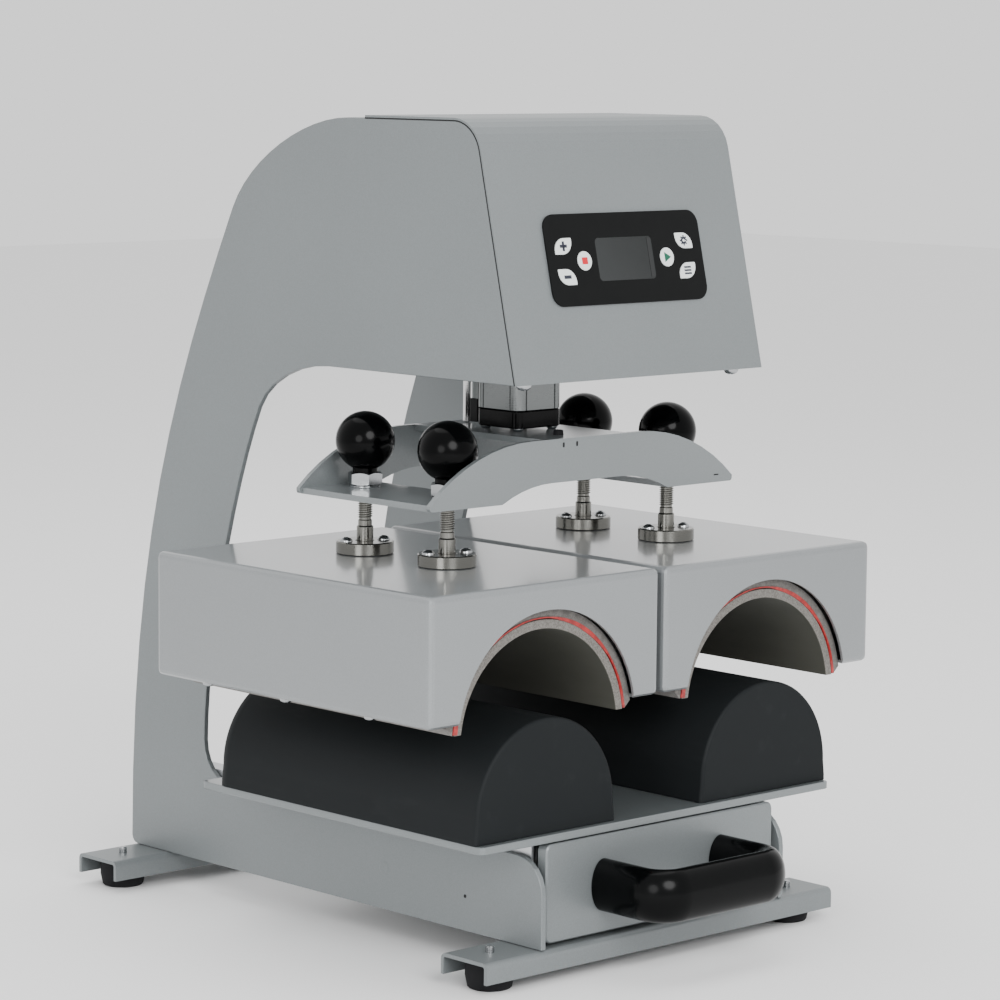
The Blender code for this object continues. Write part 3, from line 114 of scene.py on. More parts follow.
class Finish:
    """A procedural material on the Principled shader."""

    def __init__(self, name, roughness=0.5, metallic=0.0, coat=0.0, coat_roughness=0.1, sheen=0.0, specular=0.5):
        self.material = bpy.data.materials.new(name)
        self.material.use_nodes = True
        self.tree = self.material.node_tree
        self.shader = self.tree.nodes["Principled BSDF"]
        steady = {
            "Roughness": roughness,
            "Metallic": metallic,
            "Coat Weight": coat,
            "Coat Roughness": coat_roughness,
            "Sheen Weight": sheen,
            "Specular IOR Level": specular,
        }
        for socket, value in steady.items():
            self.shader.inputs[socket].default_value = value
        self.place = self.node("ShaderNodeTexCoord", {}, {}, "Object")

    def node(self, kind, settings, inputs, output=0):
        """Adds a node: its settings first, then the values or links of its sockets."""
        made = self.tree.nodes.new(kind)
        for key, value in settings.items():
            setattr(made, key, value)
        for key, value in inputs.items():
            self.put(made.inputs[key], value)
        return Value(self, made.outputs[output])

    def put(self, socket, value):
        """Links a value to a socket, or sets the socket to a plain number or colour."""
        if isinstance(value, Value):
            self.tree.links.new(value.socket, socket)
        else:
            socket.default_value = value

    def noise(self, scale, detail=2.0, rough=0.5, stretch=(1, 1, 1), at=None):
        """Noise of about 0 to 1, with its scale in cells per metre."""
        if at is None:
            at = self.place
        spread = self.node("ShaderNodeMapping", {}, {"Vector": at, "Scale": stretch})
        inputs = {"Vector": spread, "Scale": scale, "Detail": detail, "Roughness": rough}
        return self.node("ShaderNodeTexNoise", {}, inputs)

    def specks(self, scale):
        """Distance to the nearest of many scattered points."""
        inputs = {"Vector": self.place, "Scale": scale}
        return self.node("ShaderNodeTexVoronoi", {}, inputs, "Distance")

    def axis(self, name):
        """One coordinate of the place."""
        return self.node("ShaderNodeSeparateXYZ", {}, {0: self.place}, name)

    def facing(self, name):
        """One coordinate of the surface's own direction."""
        normal = self.node("ShaderNodeNewGeometry", {}, {}, "Normal")
        return self.node("ShaderNodeSeparateXYZ", {}, {0: normal}, name)

    def step(self, value, low, high):
        """A smooth step from 0 to 1 between two values."""
        settings = {"interpolation_type": "SMOOTHSTEP"}
        inputs = {"Value": value, "From Min": low, "From Max": high}
        return self.node("ShaderNodeMapRange", settings, inputs)

    def blend(self, share, first, second):
        """A mix of two colours."""
        colours = [c if isinstance(c, Value) else (*c, 1.0) for c in (first, second)]
        made = self.tree.nodes.new("ShaderNodeMix")
        made.data_type = "RGBA"
        self.put(made.inputs[0], share)
        self.put(made.inputs[6], colours[0])
        self.put(made.inputs[7], colours[1])
        return Value(self, made.outputs[2])

    def colour(self, value):
        """Sets the surface's colour, plain or changing."""
        if not isinstance(value, Value):
            value = (*value, 1.0)
        self.put(self.shader.inputs["Base Color"], value)

    def roughness(self, value):
        """Sets how matte the surface is."""
        self.put(self.shader.inputs["Roughness"], value)

    def bump(self, height, distance):
        """Raises the surface by a height of 0 to 1 times a distance in metres."""
        inputs = {"Height": height, "Distance": distance, "Strength": 1.0}
        normal = self.node("ShaderNodeBump", {}, inputs)
        self.put(self.shader.inputs["Normal"], normal)


def painted(name, colour, roughness, coat=0.25, coat_roughness=0.30):
    """Powder coat: an orange-peel skin with fine bright flakes and a slow drift of tone."""
    flake, peel = 0.10, 0.00003
    made = Finish(name, roughness, metallic=0.35, coat=coat, coat_roughness=coat_roughness)
    drift = made.noise(7.0, 2.0)
    grain = made.noise(2600.0, 1.0)
    fine = made.noise(900.0, 2.0)
    dark = [c * (1.0 - flake) for c in colour]
    light = [c * (1.0 + flake) for c in colour]
    share = made.step(grain * 0.6 + fine * 0.2 + drift * 0.2, 0.32, 0.68)
    made.colour(made.blend(share, dark, light))
    made.roughness(drift * 0.06 + grain * 0.10 + (roughness - 0.08))
    made.bump(made.noise(700.0, 2.0) * 0.7 + grain * 0.3, peel)
    return made.material


def moulded(name, colour, roughness, specular, grain=0.00001):
    """A moulded plastic with a faint unevenness under its gloss."""
    made = Finish(name, roughness, specular=specular)
    smear = made.noise(38.0, 3.0, 0.6)
    dust = made.step(made.specks(420.0), 0.05, 0.02)
    light = [c * 1.6 + 0.0012 for c in colour]
    made.colour(made.blend(smear * 0.35 + dust * 0.3, colour, light))
    made.roughness(made.step(smear, 0.35, 0.75) * 0.07 + roughness)
    made.bump(made.noise(160.0, 1.0), grain)
    return made.material


def rubber(name, colour, roughness=0.62):
    """Silicone rubber with a fine matte skin, light dust and handling marks."""
    made = Finish(name, roughness, specular=0.14)
    cloud = made.noise(16.0, 4.0, 0.6)
    skin = made.noise(1500.0, 2.0)
    dust = made.step(made.specks(260.0), 0.06, 0.02)
    marks = made.step(made.noise(60.0, 4.0, 0.65, (1.0, 0.25, 1.0)), 0.56, 0.75)
    light = [c * 1.5 + 0.004 for c in colour]
    made.colour(made.blend(cloud * 0.5 + marks * 0.25 + dust * 0.5, colour, light))
    made.roughness(cloud * 0.12 + (roughness - 0.06) - marks * 0.05)
    made.bump(skin * 0.5 + cloud * 0.5, 0.00006)
    return made.material


def turned_metal(name, colour, roughness, axes=()):
    """Bright metal with fine turning marks around the given upright axes, or along Z where none is given."""
    made = Finish(name, roughness, metallic=1.0)
    x, y, z = (made.axis(a) for a in "XYZ")
    if axes:
        rings = None
        for cx, cy in axes:
            reach = ((x - cx) ** 2.0 + (y - cy) ** 2.0) ** 0.5
            rings = reach if rings is None else reach.join("MINIMUM", rings, reach)
        trail = made.node("ShaderNodeCombineXYZ", {}, {0: rings, 1: 0.0, 2: z})
    else:
        trail = made.node("ShaderNodeCombineXYZ", {}, {0: x * 0.03, 1: y * 0.03, 2: z})
    marks = made.noise(5200.0, 2.0, 0.6, at=trail)
    cloud = made.noise(60.0, 3.0)
    light = [min(c * 1.12, 1.0) for c in colour]
    dark = [c * 0.86 for c in colour]
    made.colour(made.blend(marks * 0.6 + cloud * 0.3, dark, light))
    made.roughness(marks * 0.10 + cloud * 0.06 + (roughness - 0.07))
    made.bump(marks, 0.000006)
    return made.material


def felt(name, colour):
    """Loose fibres of uneven tone, painted lighter where they stand up as a painted highlight on the raised fibres.
    """
    made = Finish(name, roughness=0.95, sheen=0.25, specular=0.2)
    strands = made.noise(1400.0, 4.0, 0.7, (1.0, 0.35, 1.0))
    tufts = made.noise(260.0, 3.0, 0.6)
    light = [c * 1.9 + 0.01 for c in colour]
    # the lighter share follows the fibres' bump: a painted highlight where they stand up
    made.colour(made.blend(made.step(strands * 0.6 + tufts * 0.4, 0.35, 0.7), colour, light))
    made.bump(strands * 0.7 + tufts * 0.3, 0.0002)
    return made.material


def lining_finish():
    """Silicone sponge with open cells on its cut ends: faces that look along Y get a warm grey, the pressing face
    inside the arch a darker colour as painted shade.
    """
    made = Finish("sponge_lining", roughness=0.80, specular=0.3)
    cells = made.noise(1100.0, 3.0, 0.65)
    rub = made.noise(34.0, 4.0, 0.6, (1.0, 0.35, 1.0))
    # the pressing face inside the arch, darkened as painted shade
    inner = made.blend(rub * 0.6, (0.046, 0.046, 0.038), (0.100, 0.100, 0.084))
    cut = made.blend(made.step(cells, 0.34, 0.66), (0.105, 0.098, 0.089), (0.190, 0.180, 0.165))
    # faces that look along Y, the lit cut ends, take the lighter colour; the rest keep the painted shade
    end = made.step(abs(made.facing("Y")), 0.55, 0.75)
    made.colour(made.blend(end, inner, cut))
    made.roughness(rub * 0.15 + 0.66)
    made.bump(cells * 0.6 + rub * 0.4, 0.00012)
    return made.material


def heater_finish():
    """Red silicone with a weave pressed into its faces."""
    made = Finish("heater_silicone", roughness=0.42, specular=0.5)
    blotch = made.noise(300.0, 3.0, 0.6)
    weave = made.noise(1200.0, 1.0)
    made.colour(made.blend(made.step(blotch, 0.3, 0.7), (0.20, 0.008, 0.009), (0.40, 0.026, 0.024)))
    made.roughness(blotch * 0.25 + 0.30)
    made.bump(weave * 0.5 + blotch * 0.5, 0.00008)
    return made.material


def printed(name, colour, roughness=0.40, specular=0.4):
    """A printed film: ink with a trace of grain."""
    made = Finish(name, roughness, specular=specular)
    ink = made.noise(2200.0, 2.0)
    cloud = made.noise(90.0, 2.0)
    light = [min(c * 1.15 + 0.003, 1.0) for c in colour]
    made.colour(made.blend(ink * 0.5 + cloud * 0.4, colour, light))
    made.roughness(cloud * 0.1 + (roughness - 0.05))
    made.bump(ink, 0.000008)
    return made.material


def display_finish():
    """An unlit liquid-crystal screen: dark grey glass with a painted reflection that lightens it a little low on
    the left.
    """
    made = Finish("display_glass", roughness=0.30, specular=0.16)
    x, z = made.axis("X"), made.axis("Z")
    # painted reflection: the glass lighter low on the left
    painted_reflection_slope = made.step(x * -1.0 - z * 0.8, -0.42, -0.31)
    body = made.blend(painted_reflection_slope, (0.016, 0.0175, 0.0175), (0.029, 0.031, 0.0315))
    made.colour(made.blend(made.noise(140.0, 2.0) * 0.12, body, (0.050, 0.053, 0.054)))
    made.roughness(made.noise(60.0, 2.0) * 0.08 + 0.28)
    return made.material


def board_finish():
    """A green circuit board with tracks."""
    made = Finish("circuit_board", roughness=0.45)
    tracks = made.step(made.noise(380.0, 1.0, 0.3, (1.0, 4.0, 0.2)), 0.50, 0.54)
    made.colour(made.blend(tracks, (0.010, 0.075, 0.030), (0.022, 0.150, 0.055)))
    made.roughness(tracks * 0.1 + 0.38)
    made.bump(tracks, 0.00003)
    return made.material


PAINT = painted("silver_grey_paint", (0.176, 0.193, 0.198), roughness=0.44)
SHELL = painted("platen_paint", (0.210, 0.223, 0.230), roughness=0.36, coat=1.0, coat_roughness=0.12)
YOKE_PAINT = painted("yoke_paint", (0.180, 0.198, 0.203), roughness=0.40, coat=0.9, coat_roughness=0.16)
DECK = painted("tray_paint", (0.150, 0.168, 0.172), roughness=0.38, coat=0.8, coat_roughness=0.12)
GLOSS = moulded("gloss_black", (0.0003, 0.0004, 0.0005), roughness=0.13, specular=0.085)
CAP_GLOSS = moulded("cap_black", (0.0008, 0.0009, 0.0010), roughness=0.16, specular=0.13)
GRIP = moulded("handle_black", (0.0008, 0.0010, 0.0011), roughness=0.18, specular=0.10, grain=0.00002)
PLASTIC = moulded("matte_black", (0.0055, 0.0058, 0.0060), roughness=0.38, specular=0.25, grain=0.00003)
RUBBER = rubber("rubber_form", (0.0060, 0.0074, 0.0082))
FOOT = rubber("rubber_foot", (0.008, 0.008, 0.009), roughness=0.7)
STAINLESS = turned_metal("turned_stainless", (0.19, 0.187, 0.172), roughness=0.18, axes=ROD_AXES)
ZINC = turned_metal("bright_zinc", (0.40, 0.41, 0.42), roughness=0.18)
RAIL = turned_metal("zinc_rail", (0.58, 0.59, 0.60), roughness=0.34)
CHROME = turned_metal("ground_rod", (0.72, 0.72, 0.72), roughness=0.12)
ALUMINIUM = turned_metal("drawn_aluminium", (0.20, 0.21, 0.21), roughness=0.28)
FELT = felt("felt_backing", (0.100, 0.094, 0.088))
LINING = lining_finish()
HEATER = heater_finish()
OVERLAY = printed("panel_overlay", (0.0026, 0.0029, 0.0030), roughness=0.36, specular=0.10)
KEY_WHITE = printed("key_white", (0.64, 0.67, 0.66), roughness=0.42)
INK = printed("dark_ink", (0.012, 0.014, 0.026), roughness=0.45)
RED_INK = printed("red_ink", (0.50, 0.006, 0.016), roughness=0.45)
GREEN_INK = printed("green_ink", (0.002, 0.080, 0.045), roughness=0.45)
GLASS = display_finish()
BEZEL = printed("display_bezel", (0.024, 0.025, 0.0255), roughness=0.50, specular=0.12)
BOARD = board_finish()


# Modelling


def take(piece):
    """Makes one piece the only selected one, in object mode."""
    if bpy.context.object and bpy.context.object.mode != "OBJECT":
        bpy.ops.object.mode_set(mode="OBJECT")
    bpy.ops.object.select_all(action="DESELECT")
    if piece:
        piece.select_set(True)
        bpy.context.view_layer.objects.active = piece


def start(kind, **sizes):
    """Adds a primitive with nothing else selected."""
    take(None)
    getattr(bpy.ops.mesh, "primitive_" + kind + "_add")(**sizes)
    piece = bpy.context.object
    bpy.ops.object.transform_apply(location=True, rotation=True, scale=True)
    return piece


def pick(piece, kind, test):
    """Selects the points, edges or faces that pass a test, in edit mode."""
    take(piece)
    bpy.ops.object.mode_set(mode="EDIT")
    bpy.ops.mesh.select_mode(type=kind)
    bpy.ops.mesh.select_all(action="DESELECT")
    bm = bmesh.from_edit_mesh(piece.data)
    items = {"VERT": bm.verts, "EDGE": bm.edges, "FACE": bm.faces}[kind]
    for item in items:
        if test(item):
            item.select_set(True)
    bm.select_flush_mode()
    bmesh.update_edit_mesh(piece.data)


def push(value):
    """Extrudes what is selected."""
    bpy.ops.mesh.extrude_region_move(TRANSFORM_OT_translate={"value": value})


def soften(piece, width, segments, test):
    """Bevels the edges that pass a test."""
    pick(piece, "EDGE", test)
    bpy.ops.mesh.bevel(offset=width, segments=segments, profile=0.5, affect="EDGES", clamp_overlap=False)
    bpy.ops.object.mode_set(mode="OBJECT")


def cut(piece, point, normal):
    """Cuts away what lies in front of a plane and closes the cut."""
    take(piece)
    bpy.ops.object.mode_set(mode="EDIT")
    bpy.ops.mesh.select_all(action="SELECT")
    bpy.ops.mesh.bisect(plane_co=point, plane_no=normal, use_fill=True, clear_outer=True)
    bpy.ops.object.mode_set(mode="OBJECT")


def modify(piece, kind, **settings):
    """Adds a modifier and applies it."""
    take(piece)
    made = piece.modifiers.new(kind.lower(), kind)
    for key, value in settings.items():
        setattr(made, key, value)
    bpy.ops.object.modifier_apply(modifier=made.name)


def carve(piece, tool, operation="DIFFERENCE"):
    """Takes a tool's shape out of a piece, or keeps only what lies in it, and removes the tool."""
    modify(piece, "BOOLEAN", operation=operation, solver="EXACT", object=tool)
    bpy.data.objects.remove(tool)


def tidy(piece, outward=True):
    """Merges doubles, turns the faces outwards and puts the place into the mesh."""
    take(piece)
    bpy.ops.object.transform_apply(location=True, rotation=True, scale=True)
    bpy.ops.object.mode_set(mode="EDIT")
    bpy.ops.mesh.select_all(action="SELECT")
    bpy.ops.mesh.remove_doubles(threshold=0.000002)
    if outward:
        bpy.ops.mesh.normals_make_consistent(inside=False)
    bpy.ops.object.mode_set(mode="OBJECT")


def smooth(piece, degrees):
    """Shades a piece smooth, with a sharp line where its faces meet at more than an angle."""
    take(piece)
    bpy.ops.object.shade_smooth_by_angle(angle=math.radians(degrees))


def join(pieces):
    """Joins pieces into the first, which keeps every finish."""
    take(pieces[0])
    for piece in pieces[1:]:
        piece.select_set(True)
    bpy.ops.object.join()
    return bpy.context.object


def paint(piece, material):
    """Gives a piece one finish all over."""
    piece.data.materials.clear()
    piece.data.materials.append(material)
    return piece


def settle(piece, name, body, finish_slot, *cad_nodes, degrees=35):
    """Names a finished piece and gives it to its body; it stands for the CAD nodes named."""
    tidy(piece, outward=False)
    smooth(piece, degrees)
    modify(piece, "WEIGHTED_NORMAL", keep_sharp=True)
    piece.name = name
    piece.data.name = name
    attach(piece, body)
    if cad_nodes:
        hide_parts(*cad_nodes)


def copy_of(piece, shift, turn):
    """A copy with a mesh of its own, turned and then moved."""
    made = piece.copy()
    made.data = piece.data.copy()
    bpy.context.scene.collection.objects.link(made)
    made.data.transform(turn)
    made.data.transform(Matrix.Translation(shift))
    return made


def outline_edges(points, closed=True):
    """A chain of edges through points, drawn as a curve and made a mesh."""
    curve = bpy.data.curves.new("outline", "CURVE")
    curve.dimensions = "3D"
    spline = curve.splines.new("POLY")
    spline.points.add(len(points) - 1)
    for target, point in zip(spline.points, points):
        target.co = (*point, 1.0)
    spline.use_cyclic_u = closed
    piece = bpy.data.objects.new("outline", curve)
    bpy.context.scene.collection.objects.link(piece)
    take(piece)
    bpy.ops.object.convert(target="MESH")
    return bpy.context.object


def plate(points, thickness, place=None):
    """A flat outline, given on X and Y, filled and extruded upwards."""
    piece = outline_edges([(*point, 0.0) for point in points])
    take(piece)
    bpy.ops.object.mode_set(mode="EDIT")
    bpy.ops.mesh.select_all(action="SELECT")
    bpy.ops.mesh.edge_face_add()
    push((0, 0, thickness))
    bpy.ops.mesh.select_all(action="SELECT")
    bpy.ops.mesh.normals_make_consistent(inside=False)
    bpy.ops.object.mode_set(mode="OBJECT")
    if place is not None:
        piece.data.transform(place)
    return piece


def lathe(profile, centre=(0, 0), steps=64):
    """Turns (radius, height) points about an upright axis."""
    piece = outline_edges([(radius, 0.0, height) for radius, height in profile], closed=False)
    modify(piece, "SCREW", axis="Z", steps=steps, render_steps=steps, use_merge_vertices=True, merge_threshold=1e-6)
    piece.data.transform(Matrix.Translation((*centre, 0)))
    tidy(piece)
    return piece


def arc(cx, cy, radius, first, last, steps):
    """Points round a centre, from one angle in degrees to another."""
    angles = [math.radians(first + (last - first) * i / steps) for i in range(steps + 1)]
    return [(cx + radius * math.cos(a), cy + radius * math.sin(a)) for a in angles]


def round_box(width, height, radius, steps, at=(0, 0)):
    """A rectangle with round corners."""
    points = []
    for turn, (sx, sy) in enumerate(CORNER_SIGNS):
        corner = (at[0] + sx * (width / 2 - radius), at[1] + sy * (height / 2 - radius))
        points += arc(*corner, radius, 90 * turn, 90 * turn + 90, steps)
    return points


def edge_middle(edge):
    """The point halfway along an edge."""
    return (edge.verts[0].co + edge.verts[1].co) / 2


def at_heights(*heights):
    """A test for edges whose middle lies at one of some heights."""
    return lambda edge: any(abs(edge_middle(edge).z - height) < 1e-6 for height in heights)


def on_end(y, floor):
    """A test for edges that lie on the end face at y and above a floor."""
    return lambda edge: all(abs(v.co.y - y) < 1e-5 for v in edge.verts) and edge_middle(edge).z > floor


def upright_axis(low, high):
    """The middle of a box on X and Y."""
    return (low.x + high.x) / 2, (low.y + high.y) / 2


def raised(height):
    """A move upwards."""
    return Matrix.Translation((0, 0, height))


def run_from(y):
    """Stands a flat outline up, to run from y to the rear."""
    return Matrix(((1, 0, 0, 0), (0, 0, 1, y), (0, 1, 0, 0), (0, 0, 0, 1)))


def facing_front(x, y, z):
    """Stands a flat outline up at a place, with its face to the front."""
    return Matrix(((1, 0, 0, x), (0, 0, -1, y), (0, 1, 0, z), (0, 0, 0, 1)))


# Fasteners


SINK = 0.0002


def button_screw(radius, height):
    """A button head with a hexagon socket, standing on Z = 0 and sunk a little under it."""
    dome = [(radius * x, height * y) for x, y in arc(0, 0, 1, 90, 0, 8)[1:]]
    head = lathe([(0.0, height)] + dome + [(radius, -SINK), (0.0, -SINK)], steps=40)
    socket_radius, socket_floor = radius * 0.42, height * 0.45
    carve(head, plate(arc(0, 0, socket_radius, 0, 300, 5), height, raised(socket_floor)))
    return head


def cross_screw(radius, height):
    """A pan head with a cross recess, standing on Z = 0 and sunk a little under it."""
    crown = ((0.0, 1.0), (0.45, 0.97), (0.8, 0.75), (0.97, 0.4))
    profile = [(radius * reach, height * rise) for reach, rise in crown]
    head = lathe(profile + [(radius, 0.0), (radius, -SINK), (0.0, -SINK)], steps=36)
    for turn in (0, 90):
        recess = start("cube", size=1.0)
        size = Matrix.Diagonal((radius * 1.1, radius * 0.22, height, 1))
        recess.data.transform(raised(height * 1.05) @ (Matrix.Rotation(math.radians(turn), 4, "Z") @ size))
        carve(head, recess)
    return head


def hex_nut(flats, height, bore):
    """A nut with its corners turned down at both faces and a countersunk bore."""
    corner = flats / math.sqrt(3)
    body = plate(arc(0, 0, corner, 30, 330, 5), height)
    face, rim = flats / 2 * 0.97, corner * 1.02
    turned = [(0.0, 0.0), (face, 0.0), (rim, height * 0.16), (rim, height * 0.84), (face, height), (0.0, height)]
    carve(body, lathe(turned), "INTERSECT")
    below, above = -0.001, height + 0.001
    drill = [(0.0, below), (bore, below), (bore, height - 0.0006), (bore + 0.0016, above), (0.0, above)]
    carve(body, lathe(drill))
    return body


def washer(outer, inner, thickness):
    """A flat washer with broken outer edges."""
    edge = thickness * 0.25
    rim = [(outer - edge, 0.0), (outer, edge), (outer, thickness - edge), (outer - edge, thickness)]
    return lathe([(inner, 0.0)] + rim + [(inner, thickness), (inner, 0.0)])


def scatter(model, name, material, body, finish_slot, places):
    """Copies of a modelled fastener, each at a place, with its own turn about Z and an optional flip."""
    for number, (place, spin, flipped) in enumerate(places, 1):
        turn = Matrix.Rotation(math.radians(spin), 4, "Z")
        if flipped:
            turn = Matrix.Rotation(math.pi, 4, "X") @ turn
        settle(paint(copy_of(model, place, turn), material), f"{name}_{number}", body, finish_slot)
    bpy.data.objects.remove(model)


# Adjusters


def ball_knob(corner):
    """A ball knob with a flat collar round its threaded hole."""
    low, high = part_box("ball_knob_" + corner)
    x, y = upright_axis(low, high)
    radius = (high.x - low.x) / 2
    centre = high.z - radius
    knob = start("uv_sphere", segments=72, ring_count=48, radius=radius, location=(x, y, centre))
    collar = 0.0085
    cut_height = centre - math.sqrt(radius ** 2 - collar ** 2)
    cut(knob, (x, y, cut_height), (0, 0, -1))
    pick(knob, "FACE", lambda f: f.normal.z < -0.99 and f.calc_center_median().z < cut_height + 0.0001)
    push((0, 0, low.z - cut_height))
    bpy.ops.mesh.inset(thickness=0.0012, depth=0.0)
    bpy.ops.mesh.inset(thickness=0.0018, depth=-0.0006)
    bpy.ops.object.mode_set(mode="OBJECT")
    tidy(paint(knob, GLOSS))
    settle(knob, "knob_" + corner, "adjuster_" + corner, "black_gloss", "ball_knob_" + corner, degrees=50)


def thread(centre, crest, root, pitch, low, high):
    """A helical ridge with closed ends, sunk a little under the root."""
    half, tip = pitch / 2 * 0.86, pitch * 0.07
    sunk = root - 0.0003
    ridge = ((sunk, -half), (crest, -tip), (crest, tip), (sunk, half))
    piece = outline_edges([(radius, 0.0, low + rise) for radius, rise in ridge])
    steps = 28
    turns = int((high - low) / pitch)
    modify(piece, "SCREW", axis="Z", screw_offset=pitch, iterations=turns, steps=steps, render_steps=steps)
    pick(piece, "EDGE", lambda e: e.is_boundary)
    bpy.ops.mesh.edge_face_add()
    bpy.ops.object.mode_set(mode="OBJECT")
    piece.data.transform(Matrix.Translation((*centre, 0)))
    tidy(piece)
    return piece


def adjusting_rod(corner):
    """A turned stem with a cut thread above it, and the head that the flange traps."""
    low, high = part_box("threaded_rod_" + corner)
    axis = upright_axis(low, high)
    head, head_top = 0.0079, low.z + 0.0030
    stem, neck, stem_top = 0.00565, 0.0047, 0.278
    root, crest, pitch = 0.0041, 0.0050, 0.0015
    profile = [
        (0.0, low.z),
        (head, low.z),
        (head, head_top),
        (stem, head_top),
        (stem, stem_top - 0.0008),
        (crest, stem_top),
        (neck, stem_top + 0.0001),
        (neck, stem_top + 0.0036),
        (root, stem_top + 0.0042),
        (root, high.z - 0.0012),
        (root - 0.0010, high.z),
        (0.0, high.z),
    ]
    rod = lathe(profile, axis, 48)
    ridge = thread(axis, crest, root, pitch, low=stem_top + 0.0050, high=high.z - 0.0030)
    rod = join([paint(rod, STAINLESS), paint(ridge, STAINLESS)])
    settle(rod, "adjusting_rod_" + corner, "adjuster_" + corner, "zinc", "threaded_rod_" + corner)


def rod_flange(corner):
    """A turned flange with broken edges. Gives the middle of its top."""
    low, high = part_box("rod_flange_" + corner)
    x, y = upright_axis(low, high)
    outer, bore = (high.x - low.x) / 2, 0.00605
    profile = [
        (bore, low.z),
        (outer - 0.0004, low.z),
        (outer, low.z + 0.0004),
        (outer, high.z - 0.0007),
        (outer - 0.0007, high.z),
        (bore + 0.0006, high.z),
        (bore, high.z - 0.0006),
        (bore, low.z),
    ]
    flange = paint(lathe(profile, (x, y), 96), STAINLESS)
    settle(flange, "flange_" + corner, "platen_" + corner.split("_")[0], "steel", "rod_flange_" + corner)
    return Vector((x, y, high.z))


def adjusters():
    """Knobs, rods and flanges at the four corners, with two button screws in each flange."""
    tops = {}
    for corner in CORNERS:
        ball_knob(corner)
        adjusting_rod(corner)
        tops[corner] = rod_flange(corner)
    screw_reach = 0.0136
    for side in SIDES:
        places = []
        for row in ROWS:
            for turn in (-18, 162):
                a = math.radians(turn)
                offset = Vector((screw_reach * math.cos(a), screw_reach * math.sin(a), 0))
                places.append((tops[side + "_" + row] + offset, turn * 2 + 11 * len(places), False))
        screw = button_screw(radius=0.0043, height=0.0029)
        scatter(screw, "flange_screw_" + side, ZINC, "platen_" + side, "zinc", places)


def nuts_on_yoke():
    """Zinc nuts and washers over the yoke's plain ones."""
    places = [((x, y, NUT_SEAT), 14 + 17 * i, False) for i, (x, y) in enumerate(ROD_AXES)]
    nut = hex_nut(flats=0.0208, height=0.0086, bore=0.0051)
    scatter(nut, "wing_nut", ZINC, "press", "zinc", places)
    places = [((x, y, WING_TOP), 0, False) for x, y in ROD_AXES]
    ring = washer(outer=0.0107, inner=0.0055, thickness=0.00165)
    scatter(ring, "wing_washer", ZINC, "press", "zinc", places)


adjusters()
nuts_on_yoke()


# Heated arches


PAD_CENTRE = 0.1594
PAD_FRONT, PAD_REAR = -0.16855, 0.09045
CAVITY_RADIUS = 0.0832
FELT_RADII = (0.0826, 0.0768)
MAT_RADII = (0.07668, 0.07552)
LINING_RADII = (0.0752, 0.0690)


def arch_band(side, radii, low, front, wander=None):
    """One layer of a pad: a half ring of two radii down to a low edge, run from the front to the pads' rear."""
    x = SIDES[side] * LANE
    outer, inner = radii
    outline, steps = [], 96
    for radius, turn in ((outer, 1), (inner, -1)):
        end = math.degrees(math.asin((low - PAD_CENTRE) / radius))
        for step in range(steps + 1):
            share = step / steps
            degrees = end + (180 - 2 * end) * (share if turn > 0 else 1 - share)
            reach = radius + (wander(side, degrees, turn) if wander else 0.0)
            a = math.radians(degrees)
            outline.append((x + reach * math.cos(a), PAD_CENTRE + reach * math.sin(a)))
    piece = plate(outline, PAD_REAR - front, run_from(front))
    tidy(piece)
    return piece


def clamp(value):
    """A value kept between 0 and 1."""
    return min(max(value, 0.0), 1.0)


def swell(degrees, centre, reach):
    """A hump of 1 at a centre, which falls to 0 at its reach to either side."""
    return max(0.0, 1.0 - ((degrees - centre) / reach) ** 2)


def mat_wander(side, degrees, turn):
    """How far the cut edge of the heater mat strays: full near the right shoulder, thin down the left."""
    a = math.radians(degrees)
    phase = 1.2 if side == "left" else 2.9
    flow = 0.45 * math.sin(5.0 * a + 0.6) + 0.3 * math.sin(11.0 * a + phase) + 0.25 * math.sin(23.0 * a)
    full = swell(degrees, 60.0, 24.0)
    if turn > 0:
        return 0.00010 * flow + 0.00060 * full
    thin = swell(degrees, 138.0, 38.0) + 0.6 * swell(degrees, 92.0, 16.0)
    flap = 0.0026 * clamp((degrees - 157.0) / 12.0) + 0.0009 * clamp((26.0 - degrees) / 14.0)
    return 0.00018 * flow + 0.00070 * min(thin, 1.0) - 0.00100 * full - flap


def pads():
    """Felt, heater mat and sponge lining in each platen, with the filling behind them."""
    for side, sx in SIDES.items():
        body = "platen_" + side
        low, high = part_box("insulation_" + side)
        filling = start("cube", size=1.0)
        base, top = 0.1780, high.z
        front = PAD_FRONT + 0.0240
        size = (high.x - low.x, high.y - front, top - base)
        spot = ((high.x + low.x) / 2, (high.y + front) / 2, (top + base) / 2)
        filling.data.transform(Matrix.Translation(spot) @ Matrix.Diagonal((*size, 1)))
        cavity = start("cylinder", vertices=128, radius=CAVITY_RADIUS, depth=0.8, rotation=(math.pi / 2, 0, 0))
        cavity.data.transform(Matrix.Translation((sx * LANE, 0, PAD_CENTRE)))
        carve(filling, cavity)
        band = arch_band(side, FELT_RADII, low=0.1680, front=PAD_FRONT + 0.0002)
        for turn in (-1, 1):
            cut(band, (sx * LANE + turn * 0.0761, 0, 0.1682), (turn * 0.68, 0, -0.73))
        both = join([paint(filling, FELT), paint(band, FELT)])
        settle(both, "felt_" + side, body, "insulation", "insulation_" + side)
        mat = arch_band(side, MAT_RADII, low=0.1690, front=PAD_FRONT - 0.0006, wander=mat_wander)
        settle(paint(mat, HEATER), "heater_" + side, body, "heater", "heater_mat_" + side)
        lining = arch_band(side, LINING_RADII, low=0.1679, front=PAD_FRONT)
        soften(lining, width=0.0007, segments=3, test=lambda edge: edge.calc_face_angle(0.0) > 1.0)
        settle(paint(lining, LINING), "lining_" + side, body, "lining", "press_lining_" + side)


pads()


# Forms, tray and handle


